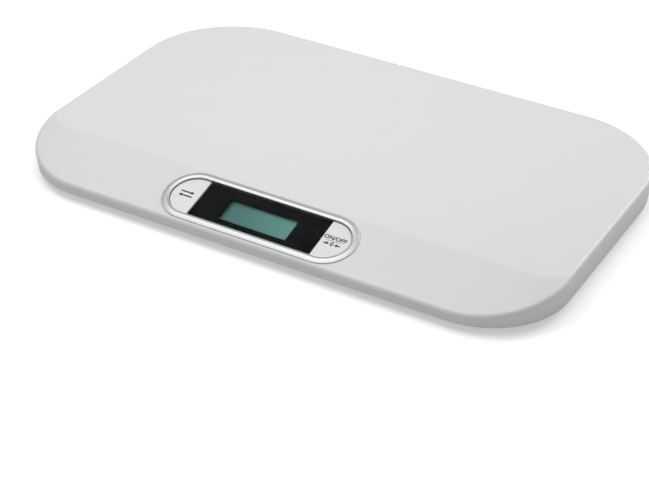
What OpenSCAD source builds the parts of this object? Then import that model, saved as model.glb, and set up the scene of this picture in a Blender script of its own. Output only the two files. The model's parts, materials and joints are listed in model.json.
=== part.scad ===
// Flat digital baby scale with four load cells.
// Millimetres. X runs along the width, Y to the back, Z up. The origin is on the floor,
// under the middle of the platform. The display side faces -Y.

/* [Platform] */
// Width of the platform, side to side
platform_w = 550; // [500:1:600]
// Depth of the platform, front to back
platform_d = 350; // [330:1:390]
// Height of the platform's side, from the foot of the skirt to the deck
platform_h = 27; // [26:0.5:34]
// Radius of the two back corners in plan
back_corner_r = 100; // [60:1:120]
// Radius of the two front corners in plan
front_corner_r = 80; // [60:1:90]
// Rounding where the deck turns down into the skirt
edge_r = 4; // [3:0.5:5]
// How far the skirt draws in from the deck edge to its foot
skirt_draw = 1.5; // [0.5:0.1:2]
// Wall thickness of the top cover
wall = 2.5; // [2:0.1:3]
// Gap between the floor and the foot of the skirt
floor_gap = 7; // [6:0.5:10]

/* [Front slope] */
// Distance from the front edge back to the crease
slope_run = 64; // [62:1:70]
// Fall of the slope for each millimetre of run
slope_fall = 0.25; // [0.2:0.01:0.26]
// Radius of the crease where it turns towards the sides
crease_corner_r = 36; // [20:1:50]

/* [Display ring] */
// Sideways place of the display's centre
ring_x = -8; // [-30:1:30]
// Distance from the crease down the slope to the ring's centre line
ring_drop = 32.5; // [32:0.5:34]
// Length over the ring
ring_l = 199; // [190:1:205]
// Width over the ring
ring_w = 60; // [58:0.5:61]
// Width of the ring's band
ring_band = 7; // [6:0.5:8]
// Height of the ring's crest above the slope
ring_rise = 1.8; // [1.2:0.1:2.4]
// Part of the band that lies on the top cover
ring_lap = 2.2; // [1.5:0.1:2.5]

/* [Window and display] */
// Length of each key along the ring
key_l = 27.5; // [26:0.5:30]
// Thickness of the window
window_t = 1.5; // [1.2:0.1:1.8]
// Depth of the window's face below the slope
window_sink = 0.5; // [0.3:0.1:0.8]
// Length of the liquid crystal glass
lcd_l = 78; // [74:1:80]
// Width of the liquid crystal glass
lcd_w = 32; // [30:0.5:33]
// Thickness of the liquid crystal glass
lcd_t = 2; // [1.6:0.1:2.2]

/* [Keys] */
// Gap round each key
key_gap = 0.5; // [0.4:0.1:0.8]
// Travel of each key
key_travel = 0.7; // [0.5:0.1:0.8]
// Thickness of a key's face
key_face_t = 0.9; // [0.8:0.1:1]
// How far a key's stem stands in from its edge
key_stem_in = 3.4; // [3:0.1:4]

/* [Circuit board] */
// How much shorter than its carrier the circuit board is
board_short = 10; // [8:0.5:12]
// Width of the circuit board
board_w = 38; // [36:1:38]
// Thickness of the circuit board
board_t = 1.6; // [1.2:0.1:1.6]
// Height of a key switch, board to plunger top
switch_h = 4.3; // [4.1:0.1:4.6]

/* [Base] */
// Thickness of the bottom cover
base_t = 2; // [1.6:0.1:2.4]
// Depth of the bottom cover's face inside the skirt
base_sink = 1.2; // [0.8:0.1:2]
// Height of the bottom cover's stiffening ribs
base_rib_h = 3.5; // [2:0.5:4]
// Height of the ribs under the deck
deck_rib_h = 6; // [4:0.5:7]
// Outside diameter of a screw boss
boss_d = 7.5; // [7:0.5:9]
// Thread diameter of the case screws
case_screw_d = 3; // [2.6:0.1:3.5]

/* [Feet and load cells] */
// Distance of each foot's middle from the side of the platform
foot_in_x = 75; // [70:1:90]
// Distance of each foot's middle from the front or back of the platform
foot_in_y = 65; // [62:1:75]
// Diameter of a foot
foot_d = 36; // [32:0.5:38]
// Diameter of a rubber pad
pad_d = 30; // [24:0.5:31]
// Thickness of a rubber pad
pad_t = 2.4; // [2:0.1:3]
// Side of a load cell's square frame
cell_side = 34; // [32:0.5:35]
// Thickness of a load cell
cell_t = 1.6; // [1.2:0.1:2]
// Gap from the bottom cover up to a load cell
cell_gap = 3.8; // [3.6:0.1:4.2]

/* [Battery bay] */
// Sideways place of the battery bay
bay_x = 60; // [-20:1:70]
// Front-to-back place of the battery bay
bay_y = 25; // [10:1:50]
// Diameter of a cell
battery_d = 10.5; // [10:0.1:10.5]
// Length of a cell with its nub
battery_l = 44.5; // [43:0.5:44.5]
// Number of cells side by side
battery_n = 4; // [2:1:4]
// Length of a contact spring when a cell is in
spring_l = 7.6; // [6:0.1:8.5]
// Thickness of the battery door
door_t = 2; // [1.6:0.1:2]

/* [Hidden] */

// Small step that makes cutters run past a face
eps = 0.05;
// Clearance between pieces that are set into each other
fit_gap = 0.3;
// Clearance between pieces that only lie near each other
free_gap = 0.6;

// Levels
deck_z = floor_gap + platform_h;
ceiling_z = deck_z - wall;
base_z = floor_gap + base_sink;
base_top = base_z + base_t;
cell_z = base_top + cell_gap;
front_y = -platform_d / 2;
crease_y = front_y + slope_run;
slope_a = atan(slope_fall);

// Inner edge of the skirt at its foot, and the edge of the bottom cover
skirt_in = skirt_draw + wall;
base_in = skirt_in + free_gap;

// Levels in the display, measured square to the slope, 0 on its face
window_top = -window_sink;
window_low = window_top - window_t;
tape_t = 0.2;
seat_w = window_low - tape_t;
key_top = window_top + 0.2;
key_low = key_top - key_face_t;
carrier_t = 1.8;
carrier_top = -wall * cos(slope_a) - 0.03;
carrier_low = carrier_top - carrier_t;
lcd_top = seat_w - 0.1;
lcd_low = lcd_top - lcd_t;
plunger_top = carrier_low - 0.5;
board_top = plunger_top - switch_h;
board_low = board_top - board_t;

// Display outlines
open_l = ring_l - 2 * ring_lap;
open_w = ring_w - 2 * ring_lap;
inner_l = ring_l - 2 * ring_band;
inner_w = ring_w - 2 * ring_band;
carrier_l = ring_l + 11;
carrier_w = ring_w - 6;
carrier_corner_r = 10;
key_edge = inner_l / 2 - key_gap - key_l;
key_mid = (key_edge + inner_l / 2) / 2;
window_l = 2 * (key_edge - key_gap);
board_l = carrier_l - board_short;

// Case screws: bosses of the top cover that the bottom cover is held to
screw_side = platform_w / 2 - skirt_in - 20;
screw_back = platform_d / 2 - skirt_in - 14;
screw_front = front_y + skirt_in + 14;
screw_places = [[-screw_side, 5], [screw_side, 5], [-0.22 * platform_w, screw_back],
    [0, screw_back], [0.22 * platform_w, screw_back], [ring_x - ring_l / 2 - 34, screw_front],
    [ring_x + ring_l / 2 + 34, screw_front], [-0.16 * platform_w, 0.12 * platform_d],
    [-0.07 * platform_w, -0.14 * platform_d], [0.3 * platform_w, -0.06 * platform_d]];
screw_pad_h = 2;
screw_head_d = 5.8;
screw_head_h = 2;
boss_low = base_top + screw_pad_h;

foot_x = platform_w / 2 - foot_in_x;
foot_y = platform_d / 2 - foot_in_y;
foot_places = [[-foot_x, -foot_y], [foot_x, -foot_y], [-foot_x, foot_y], [foot_x, foot_y]];

// Load cell bracket
bracket_side = cell_side + 12;
bracket_low = cell_z - 1.8;
bracket_top = cell_z + cell_t + 5.4;
ear_x = bracket_side / 2 + 5;
ear_t = 2.5;

// Battery bay
battery_pitch = battery_d + 0.7;
bay_w = battery_n * battery_pitch + 0.8;
contact_t = 0.4;
bay_l = battery_l + spring_l + 2 * contact_t + 0.2;
bay_wall = 1.6;
door_rim = 4.4;
door_gap = 0.3;
door_w = bay_w + 2 * door_rim;
door_l = bay_l + 2 * door_rim;
door_ledge_t = 1.4;
bay_floor = base_z + door_t + 0.2;
bay_roof = bay_floor + battery_d + 1.2;
battery_axis_z = bay_roof - battery_d / 2 - 0.3;
tab_w = 8;
tab_out = 2.6;
tab_t = 1.1;
latch_w = 12;

// Colours
white_abs = [0.9, 0.9, 0.9];
silver = [0.76, 0.77, 0.78];
grey_abs = [0.78, 0.78, 0.78];
dark = [0.06, 0.06, 0.07];
steel = [0.72, 0.72, 0.74];
rubber = [0.16, 0.16, 0.17];

// How far a point lies outside the flat deck's front outline: below 0 inside it
function past_crease(x, y) = let (
    side = max(abs(x) - (platform_w / 2 - crease_corner_r), 0),
    ahead = max(crease_y + crease_corner_r - y, 0))
    norm([side, ahead]) - crease_corner_r;

// Height of the cover's face over a point in plan
function face_z(x, y) = deck_z - slope_fall * max(past_crease(x, y), 0);

// Height at which a ball of radius r touches the face from inside, over a point in plan
function ball_z(x, y, r) = min(deck_z - r,
    deck_z - slope_fall * past_crease(x, y) - r * sqrt(1 + slope_fall * slope_fall));

// Rounded rectangle of the platform in plan, drawn in by a distance
module platform_outline(draw_in) {
    for (sx = [-1, 1]) {
        translate([sx * (platform_w / 2 - back_corner_r), platform_d / 2 - back_corner_r])
            circle(back_corner_r - draw_in, $fn = 96);
        translate([sx * (platform_w / 2 - front_corner_r), front_y + front_corner_r])
            circle(front_corner_r - draw_in, $fn = 96);
    }
    side_l = platform_d - back_corner_r - front_corner_r;
    translate([-platform_w / 2 + draw_in, front_y + front_corner_r])
        square([platform_w - 2 * draw_in, side_l]);
    translate([-platform_w / 2 + back_corner_r, 0])
        square([platform_w - 2 * back_corner_r, platform_d / 2 - draw_in]);
    translate([-platform_w / 2 + front_corner_r, front_y + draw_in])
        square([platform_w - 2 * front_corner_r, platform_d / 2]);
}

// Ring of round section that rounds a corner of the deck
module edge_ring(corner_r, draw_in, round_r, steps) {
    rotate_extrude($fn = steps)
        translate([corner_r - draw_in - round_r, 0])
            circle(round_r, $fn = 24);
}

// Closed convex form of the platform: skirt, rounded edge, flat deck and front slope.
// It is drawn in from the sides and lowered under the deck by one distance.
module platform_form(draw_in, foot_z, steps) {
    round_r = max(edge_r - draw_in, 1);
    corner_steps = steps / 6;
    lip_in = draw_in + round_r;
    lip_side = platform_w / 2 - lip_in;
    // Balls under the crease touch the deck and the slope, and stop at the side's rounding
    crease_ball_r = crease_corner_r - round_r * (sqrt(1 + slope_fall * slope_fall) - 1) / slope_fall;
    crease_end = acos((crease_corner_r - lip_in) / crease_ball_r);
    crease_steps = steps / 12;
    hull() {
        translate([0, 0, foot_z])
            linear_extrude(0.5)
                platform_outline(skirt_draw + draw_in);
        for (sx = [-1, 1]) {
            translate([sx * (platform_w / 2 - back_corner_r), platform_d / 2 - back_corner_r,
                deck_z - draw_in - round_r])
                edge_ring(back_corner_r, draw_in, round_r, steps);
            for (k = [0 : crease_steps]) {
                a = 90 - (90 - crease_end) * k / crease_steps;
                translate([sx * (platform_w / 2 - crease_corner_r + crease_ball_r * cos(a)),
                    crease_y + crease_corner_r - crease_ball_r * sin(a), deck_z - draw_in - round_r])
                    sphere(round_r, $fn = 20);
            }
            for (y = [crease_y + crease_corner_r : -7 : front_y + front_corner_r])
                translate([sx * lip_side, y, ball_z(lip_side, y, round_r) - draw_in])
                    sphere(round_r, $fn = 20);
            for (k = [0 : corner_steps]) {
                a = 90 * k / corner_steps;
                x = platform_w / 2 - front_corner_r + (front_corner_r - lip_in) * cos(a);
                y = front_y + front_corner_r - (front_corner_r - lip_in) * sin(a);
                translate([sx * x, y, ball_z(x, y, round_r) - draw_in])
                    sphere(round_r, $fn = 20);
            }
        }
    }
}

// Puts a child on the slope: X along the ring, Y up the slope, Z out of its face
module on_slope() {
    translate([ring_x, crease_y, deck_z])
        rotate([slope_a, 0, 0])
            translate([0, -ring_drop, 0])
                children();
}

// Height of the slope's frame at a place on it: used where a piece leaves the display
function slope_point(u, v, w) = let (s = v - ring_drop)
    [ring_x + u, crease_y + s * cos(slope_a) - w * sin(slope_a),
        deck_z + s * sin(slope_a) + w * cos(slope_a)];

// Long shape with half-round ends
module stadium(l, w) {
    for (sx = [-1, 1])
        translate([sx * (l - w) / 2, 0])
            circle(w / 2, $fn = 96);
    square([l - w, w], center = true);
}

module rounded_box(l, w, r) {
    for (sx = [-1, 1], sy = [-1, 1])
        translate([sx * (l / 2 - r), sy * (w / 2 - r)])
            circle(r, $fn = 32);
    square([l - 2 * r, w], center = true);
    square([l, w - 2 * r], center = true);
}

// A slab between two levels, from a 2D child
module slab(low, high) {
    translate([0, 0, low])
        linear_extrude(high - low)
            children();
}

// Round bar between two levels
module bar(d, low, high) {
    translate([0, 0, low])
        cylinder(d = d, h = high - low, $fn = 32);
}

// Places of the screws that hold the display carrier to the top cover
carrier_screw_x = ring_l / 2 + 0.5;
carrier_screw_y = carrier_w / 2 - 6.5;
carrier_boss_d = 6;
module at_carrier_screws() {
    for (sx = [-1, 1], sy = [-1, 1])
        translate([sx * carrier_screw_x, sy * carrier_screw_y, 0])
            children();
}

// Places of the screws that hold the board to the display carrier
post_x = lcd_l / 2 + 18;
post_y = board_w / 2 - 4;
post_d = 5;
end_post_x = board_l / 2 - 4;
module at_board_posts() {
    for (sx = [-1, 1]) {
        for (sy = [-1, 1])
            translate([sx * post_x, sy * post_y, 0])
                children();
        translate([sx * end_post_x, 0, 0])
            children();
    }
}

// Ribs under the deck, kept clear of the load cell brackets
module deck_ribs() {
    rib_t = 1.6;
    rib_low = ceiling_z - deck_rib_h;
    rib_high = ceiling_z + wall / 2;
    span_x = platform_w / 2 - skirt_in - 12;
    back_y = platform_d / 2 - skirt_in - 30;
    near_y = crease_y + 8;
    difference() {
        intersection() {
            union() {
                for (x = [-2.5 : 1 : 2.5])
                    translate([x * span_x / 3.2 - rib_t / 2, near_y, rib_low])
                        cube([rib_t, platform_d, rib_high - rib_low]);
                for (y = [near_y : (back_y - near_y) / 4 : back_y])
                    translate([-platform_w / 2, y - rib_t / 2, rib_low])
                        cube([platform_w, rib_t, rib_high - rib_low]);
            }
            slab(rib_low - 1, rib_high + 1)
                platform_outline(skirt_draw + wall / 2);
        }
        for (p = foot_places)
            translate([p[0], p[1], 0])
                slab(rib_low - 1, ceiling_z)
                    square([2 * ear_x + 12, bracket_side + 4], center = true);
    }
}

module top_cover() {
    color(white_abs)
        difference() {
            union() {
                difference() {
                    platform_form(0, floor_gap, 72);
                    platform_form(wall, floor_gap - 1, 48);
                }
                // Ledge that the bottom cover seats against
                difference() {
                    slab(base_top, base_top + 2)
                        platform_outline(skirt_draw + wall / 2);
                    slab(base_top - 1, base_top + 3)
                        platform_outline(base_in + 2);
                }
                deck_ribs();
                for (p = screw_places)
                    translate([p[0], p[1], 0])
                        bar(boss_d, boss_low, face_z(p[0], p[1] - boss_d / 2) - wall / 2);
                for (p = foot_places, sx = [-1, 1])
                    translate([p[0] + sx * ear_x, p[1], 0])
                        bar(boss_d, bracket_top, face_z(p[0] + sx * ear_x, p[1] - boss_d / 2) - wall / 2);
                on_slope()
                    at_carrier_screws()
                        bar(carrier_boss_d, carrier_low, -wall / 2);
            }
            // Opening for the display, and pilot holes
            on_slope() {
                slab(-wall - 4, 4)
                    stadium(open_l, open_w);
                at_carrier_screws()
                    bar(2.1, carrier_low - 1, -1.2);
            }
            for (p = screw_places)
                translate([p[0], p[1], 0])
                    bar(case_screw_d - 0.6, boss_low - 1, boss_low + 7.8);
            for (p = foot_places, sx = [-1, 1])
                translate([p[0] + sx * ear_x, p[1], 0])
                    bar(2.1, bracket_top - 1, bracket_top + 5);
        }
}

// Silver ring: a crowned band that laps the cover, over a sleeve in the opening
module ring_section() {
    crown_r = 5;
    intersection() {
        square([ring_band, ring_rise]);
        translate([ring_band / 2, ring_rise - crown_r])
            circle(crown_r, $fn = 64);
    }
    translate([0, carrier_top])
        square([ring_band - ring_lap - fit_gap, eps - carrier_top]);
}

module bezel_ring() {
    straight = (inner_l - inner_w) / 2;
    color(silver)
        on_slope() {
            for (side = [0, 1])
                rotate([0, 0, 180 * side]) {
                    translate([straight, 0, 0])
                        rotate([0, 0, -90])
                            rotate_extrude(angle = 180, $fn = 96)
                                translate([inner_w / 2, 0])
                                    ring_section();
                    translate([-straight, -inner_w / 2, 0])
                        rotate([90, 0, 90])
                            mirror([1, 0, 0])
                                linear_extrude(2 * straight)
                                    ring_section();
                }
        }
}

module display_window() {
    color(dark)
        on_slope()
            slab(window_low, window_top)
                square([window_l, inner_w - 2 * fit_gap], center = true);
}

// Adhesive frame between the window and its seat
module window_tape() {
    color("dimgray")
        on_slope()
            difference() {
                slab(seat_w, window_low)
                    square([window_l - 2, inner_w - 4], center = true);
                slab(seat_w - 1, window_low + 1)
                    square([lcd_l + 2, lcd_w + 2], center = true);
            }
}

// Outline of a key: the end of the ring's opening, cut off straight beside the window
module key_outline(edge_in) {
    intersection() {
        stadium(inner_l - 2 * key_gap - 2 * edge_in, inner_w - 2 * key_gap - 2 * edge_in);
        translate([key_edge + edge_in, -inner_w])
            square([inner_l, 2 * inner_w]);
    }
}

// Plate behind the ring that carries the window, guides the keys and holds the board
module display_carrier() {
    color(grey_abs)
        on_slope()
            difference() {
                union() {
                    slab(carrier_low, carrier_top)
                        rounded_box(carrier_l, carrier_w, carrier_corner_r);
                    slab(carrier_top - eps, seat_w)
                        stadium(inner_l - 2 * fit_gap, inner_w - 2 * fit_gap);
                    at_board_posts()
                        bar(post_d, board_top, carrier_low + eps);
                }
                slab(carrier_low - 1, seat_w + 1)
                    square([lcd_l + 2 * fit_gap, lcd_w + 2 * fit_gap], center = true);
                for (side = [0, 1])
                    rotate([0, 0, 180 * side])
                        slab(carrier_low - 1, seat_w + 1)
                            key_outline(key_stem_in - fit_gap);
                at_carrier_screws()
                    bar(carrier_boss_d + 2 * fit_gap, carrier_low - 1, seat_w + 1);
                at_board_posts()
                    bar(1.7, board_top - 1, carrier_low + 0.5);
            }
}

// A key, drawn for the right-hand end: face, stem through the carrier and two catches
module key_body() {
    catch_w = 9;
    catch_out = 1.5;
    catch_top = carrier_low - fit_gap;
    half_w = inner_w / 2 - key_gap - key_stem_in;
    slab(key_low, key_top)
        key_outline(0);
    difference() {
        slab(plunger_top, key_low + eps)
            key_outline(key_stem_in);
        // The stem is a hollow skirt with a solid middle over the switch
        difference() {
            slab(plunger_top - 1, key_low - 0.4)
                key_outline(key_stem_in + 1.6);
            translate([key_mid, 0, 0])
                bar(7, plunger_top - 2, key_low);
        }
    }
    for (sy = [-1, 1])
        translate([key_mid - catch_w / 2, sy * (half_w - 1) - (1 + catch_out) / 2 + sy * catch_out / 2,
            catch_top - 1])
            cube([catch_w, 1 + catch_out, 1]);
}

module unit_button() {
    color(white_abs)
        on_slope()
            rotate([0, 0, 180])
                key_body();
}

module power_tare_button() {
    color(white_abs)
        on_slope()
            key_body();
}

plunger_d = 3.5;
plunger_l = 2.1;
module plunger(side) {
    color(dark)
        on_slope()
            translate([side * key_mid, 0, 0])
                bar(plunger_d, plunger_top - plunger_l, plunger_top);
}

module unit_plunger() {
    plunger(-1);
}

module power_tare_plunger() {
    plunger(1);
}

module lcd_glass() {
    color([0.32, 0.49, 0.45])
        on_slope()
            slab(lcd_low, lcd_top)
                square([lcd_l, lcd_w], center = true);
}

// Frame that holds the glass and the rubber connectors down on the board
frame_wall = 2.6;
module lcd_frame() {
    color(grey_abs)
        on_slope()
            difference() {
                slab(board_top, lcd_low)
                    square([lcd_l + 2 * frame_wall, min(lcd_w + 2 * frame_wall, board_w)], center = true);
                slab(board_top - 1, lcd_low + 1)
                    square([lcd_l - 2, lcd_w - 1], center = true);
            }
}

module zebra_strips() {
    strip_w = 2.4;
    color("darkslategray")
        on_slope()
            for (sy = [-1, 1])
                translate([0, sy * (lcd_w / 2 - 0.5 - strip_w / 2 - 0.2), 0])
                    slab(board_top, lcd_low)
                        square([lcd_l - 2.6, strip_w], center = true);
}

module main_board() {
    color("darkgreen")
        on_slope()
            difference() {
                slab(board_low, board_top)
                    rounded_box(board_l, board_w, 2);
                at_board_posts()
                    bar(2.4, board_low - 1, board_top + 1);
            }
}

// Bonded chip under its drop of resin
chip_r = 12.4;
chip_h = 1.8;
module board_chip() {
    half = acos((chip_r - chip_h) / chip_r);
    color([0.05, 0.05, 0.05])
        on_slope()
            translate([22, 4, board_low])
                rotate_extrude($fn = 64)
                    polygon(concat([[0, 0]], [for (k = [8 : -1 : 0])
                        [chip_r * sin(half * k / 8), chip_r - chip_h - chip_r * cos(half * k / 8)]]));
}

// Loose parts on the back of the board: crystal can, capacitors, chip resistors, lead socket
socket_x = post_x - 13;
socket_y = board_w / 2 - 9;
module board_components() {
    color("tan")
        on_slope() {
            translate([44, -2, 0])
                slab(board_low - 3.5, board_low)
                    rounded_box(10, 4.4, 2.1);
            for (k = [0 : 2])
                translate([-20 - 9 * k, 9, 0])
                    bar(5, board_low - 5.5, board_low);
            for (k = [0 : 7])
                translate([-66 + 5 * k, -8, 0])
                    slab(board_low - 0.6, board_low)
                        square([1.6, 3.2], center = true);
            translate([socket_x, socket_y, 0])
                difference() {
                    slab(board_low - 4.4, board_low)
                        square([8, 6], center = true);
                    translate([0, 2, 0])
                        slab(board_low - 3.7, board_low - 0.8)
                            square([6.4, 6], center = true);
                }
        }
}

// Two push switches on the front of the board, under the keys
module key_switches() {
    body_h = switch_h - 0.9;
    color([0.25, 0.25, 0.27])
        on_slope()
            for (side = [-1, 1])
                translate([side * key_mid, 0, 0])
                    difference() {
                        slab(board_top, board_top + body_h)
                            rounded_box(6, 6, 0.8);
                        bar(plunger_d + 2 * fit_gap, plunger_top - plunger_l - key_travel - 0.2,
                            plunger_top);
                    }
}

// Screw with a low round head. Its head's seat is at 0 and the shank runs up.
module screw(head_d, head_h, shank_d, shank_l) {
    difference() {
        union() {
            translate([0, 0, -head_h])
                cylinder(d1 = head_d * 0.86, d2 = head_d, h = head_h * 0.4, $fn = 32);
            translate([0, 0, -head_h * 0.6])
                cylinder(d = head_d, h = head_h * 0.6, $fn = 32);
            translate([0, 0, -eps])
                cylinder(d = shank_d, h = shank_l - 1 + eps, $fn = 32);
            translate([0, 0, shank_l - 1])
                cylinder(d1 = shank_d, d2 = shank_d * 0.4, h = 1, $fn = 32);
        }
        // Cross recess
        for (a = [0, 90])
            rotate([0, 0, a])
                translate([-head_d * 0.28, -head_d * 0.07, -head_h - eps])
                    cube([head_d * 0.56, head_d * 0.14, head_h * 0.55 + eps]);
    }
}

module board_screws() {
    color(steel)
        on_slope()
            at_board_posts()
                translate([0, 0, board_low])
                    screw(3.8, 1.3, 1.6, board_t + 4.5);
}

module carrier_screws() {
    color(steel)
        on_slope()
            at_carrier_screws()
                translate([0, 0, carrier_low])
                    screw(8.6, 1.5, 2, wall + carrier_t - 1.5);
}

module at_feet() {
    for (p = foot_places)
        translate([p[0], p[1], 0])
            children();
}

// Stamped load cell: a square frame with a tongue that ends in a loaded pad
cell_band = 5;
tongue_w = 9;
cell_pad_w = 15;
stud_hole_d = 5.2;
module load_cells() {
    color(steel)
        at_feet()
            difference() {
                slab(cell_z, cell_z + cell_t)
                    difference() {
                        rounded_box(cell_side, cell_side, 4);
                        square(cell_side - 2 * cell_band, center = true);
                    }
            }
    color(steel)
        at_feet()
            difference() {
                slab(cell_z, cell_z + cell_t) {
                    translate([-tongue_w / 2, -cell_side / 2 + cell_band - eps])
                        square([tongue_w, cell_side / 2 - cell_band + eps]);
                    translate([-cell_pad_w / 2, -4])
                        square([cell_pad_w, 11]);
                }
                bar(stud_hole_d, cell_z - 1, cell_z + cell_t + 1);
            }
}

// Coated strain gauges on the tongues
module strain_gauges() {
    color("white")
        at_feet()
            translate([0, -cell_side / 4 - 1, 0])
                slab(cell_z + cell_t, cell_z + cell_t + 0.6)
                    rounded_box(7, 5, 1.2);
}

// Bracket that holds a load cell up under the deck
module cell_brackets() {
    pocket = cell_side + 2 * fit_gap;
    cavity = cell_side - 2 * cell_band + 3;
    lip_l = 12;
    color(grey_abs)
        at_feet() {
            difference() {
                union() {
                    slab(bracket_low, bracket_top)
                        rounded_box(bracket_side, bracket_side, 4);
                    slab(bracket_top - ear_t, bracket_top)
                        rounded_box(2 * ear_x + 11, 12, 5);
                }
                slab(bracket_low - 1, cell_z + cell_t)
                    square(pocket, center = true);
                slab(bracket_low - 1, bracket_top - 2)
                    square(cavity, center = true);
                for (sx = [-1, 1])
                    translate([sx * ear_x, 0, 0])
                        bar(2.8, bracket_top - ear_t - 1, bracket_top + 1);
                // Way out for the leads
                translate([-4, 0, bracket_low - 1])
                    cube([8, bracket_side, cell_z + cell_t + 3 - bracket_low + 1]);
            }
            // Lips under the frame's two sides
            for (sx = [-1, 1])
                translate([sx * (pocket / 2 - 0.6) - 0.75, -lip_l / 2, cell_z - 1.4])
                    cube([1.5, lip_l, 1.4]);
        }
}

module bracket_screws() {
    color(steel)
        at_feet()
            for (sx = [-1, 1])
                translate([sx * ear_x, 0, bracket_top - ear_t])
                    screw(5, 1.8, 2, ear_t + 4.5);
}

// A foot: a cup for the rubber pad, a neck, and a stud that snaps through the load cell
foot_low = pad_t / 2;
neck_d = 20;
stud_d = 4.4;
foot_play = 0.05;
module foot(index) {
    p = foot_places[index];
    rim_r = 1.2;
    cup_top = base_z + 1.2;
    color([0.3, 0.3, 0.31])
        translate([p[0], p[1], 0])
            difference() {
                union() {
                    // Turned profile: cup, neck and load boss
                    rotate_extrude($fn = 64)
                        polygon([[0, foot_low], [foot_d / 2 - rim_r, foot_low], [foot_d / 2, foot_low + rim_r],
                            [foot_d / 2, cup_top - rim_r], [foot_d / 2 - rim_r, cup_top],
                            [neck_d / 2, cup_top], [neck_d / 2, bracket_low],
                            [neck_d / 2 - 3, cell_z - 0.8], [5, cell_z - 0.8], [5, cell_z - foot_play],
                            [stud_d / 2, cell_z - foot_play], [stud_d / 2, cell_z + cell_t + fit_gap],
                            [stud_d / 2 + 0.8, cell_z + cell_t + fit_gap],
                            [stud_d / 2 - 0.6, cell_z + cell_t + 1.6], [0, cell_z + cell_t + 1.6]]);
                }
                bar(pad_d + 0.4, foot_low - 1, pad_t);
            }
}

module pad(index) {
    p = foot_places[index];
    color(rubber)
        translate([p[0], p[1], 0])
            difference() {
                union() {
                    cylinder(d1 = pad_d - 1, d2 = pad_d, h = 0.5, $fn = 64);
                    bar(pad_d, 0.5, pad_t);
                }
                // Two shallow grip grooves in the face that meets the floor
                for (r = [pad_d / 2 - 4, pad_d / 2 - 8])
                    rotate_extrude($fn = 64)
                        translate([r - 0.6, -eps])
                            square([1.2, 0.5]);
            }
}

module foot_front_left() {
    foot(0);
}

module foot_front_right() {
    foot(1);
}

module foot_back_left() {
    foot(2);
}

module foot_back_right() {
    foot(3);
}

module pad_front_left() {
    pad(0);
}

module pad_front_right() {
    pad(1);
}

module pad_back_left() {
    pad(2);
}

module pad_back_right() {
    pad(3);
}

module at_bay() {
    translate([bay_x, bay_y, 0])
        children();
}

// Door tabs stand out at the hinge edge of the door
module at_tabs() {
    for (sx = [-1, 1])
        translate([sx * door_w / 4, door_l / 2, 0])
            children();
}

// Place of a cell's axis in the bay, and which way it points
function battery_x(k) = (k - (battery_n - 1) / 2) * battery_pitch;
function battery_way(k) = k % 2 == 0 ? 1 : -1;

// Places of the guides that hold the leads on the bottom cover, and the way each lead runs
guide_x = foot_x - 50;
guide_y = foot_y - 34;
guide_places = [for (sx = [-1, 1], back = [0, 1])
    [sx * (guide_x + 8 * back), back == 1 ? guide_y : -guide_y, 90 * back]];

module base_ribs() {
    rib_t = 1.4;
    span_x = platform_w / 2 - base_in - 30;
    span_y = platform_d / 2 - base_in - 30;
    for (sx = [-1, 1])
        translate([sx * span_x * 0.55 - rib_t / 2, -span_y, base_top - eps])
            cube([rib_t, 2 * span_y, base_rib_h]);
    for (y = [-0.5, 0.45])
        translate([-span_x, y * 2 * span_y / 2 - rib_t / 2, base_top - eps])
            cube([2 * span_x, rib_t, base_rib_h]);
}

module bottom_cover() {
    color(white_abs)
        difference() {
            union() {
                slab(base_z, base_top)
                    platform_outline(base_in);
                difference() {
                    base_ribs();
                    at_feet()
                        bar(foot_d + 10, base_top - 1, base_top + base_rib_h + 1);
                    at_bay()
                        slab(base_top - 1, base_top + base_rib_h + 1)
                            square([door_w + 6, door_l + 8], center = true);
                }
                for (p = screw_places)
                    translate([p[0], p[1], 0])
                        bar(boss_d + 3, base_z + base_t / 2, boss_low);
                // Collar round each foot
                at_feet()
                    bar(foot_d + 2 * free_gap + 4, base_z + base_t / 2, base_top + 1.2);
                // Battery box
                at_bay() {
                    slab(base_z, bay_floor + door_ledge_t)
                        rounded_box(door_w + 5, door_l + 9, 3);
                    slab(base_z + 1, bay_roof + bay_wall)
                        square([bay_w + 2 * bay_wall, bay_l + 2 * bay_wall], center = true);
                }
                for (p = guide_places, s = [-1, 1])
                    translate([p[0], p[1], base_top - eps])
                        rotate([0, 0, p[2]])
                            translate([-3, s * (lead_d / 2 + 1.4) - 0.6, 0])
                                cube([6, 1.2, base_rib_h + 3]);
            }
            at_feet()
                bar(foot_d + 2 * free_gap, base_z - 1, base_top + 3);
            for (p = screw_places)
                translate([p[0], p[1], 0]) {
                    bar(screw_head_d + 1, base_z - 1, base_z + screw_head_h + 0.2);
                    bar(case_screw_d + 0.4, base_z, boss_low + 1);
                }
            at_bay() {
                slab(base_z - 1, bay_floor)
                    rounded_box(door_w + 2 * door_gap, door_l + 2 * door_gap, 2 + door_gap);
                slab(bay_floor - 1, bay_roof)
                    square([bay_w, bay_l], center = true);
                at_tabs()
                    translate([-tab_w / 2 - door_gap, -3.4, base_z + 0.7])
                        cube([tab_w + 2 * door_gap, 3.4 + tab_out + 0.6, door_ledge_t + 4]);
                // Opening for the latch
                translate([-latch_w / 2 - 1, -door_l / 2 - door_gap, base_z])
                    cube([latch_w + 2, 3, door_t + 3]);
                // Thumb scoop at the latch
                translate([0, -door_l / 2 - 1, base_z - 7.4])
                    sphere(9, $fn = 64);
            }
        }
}

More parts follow.
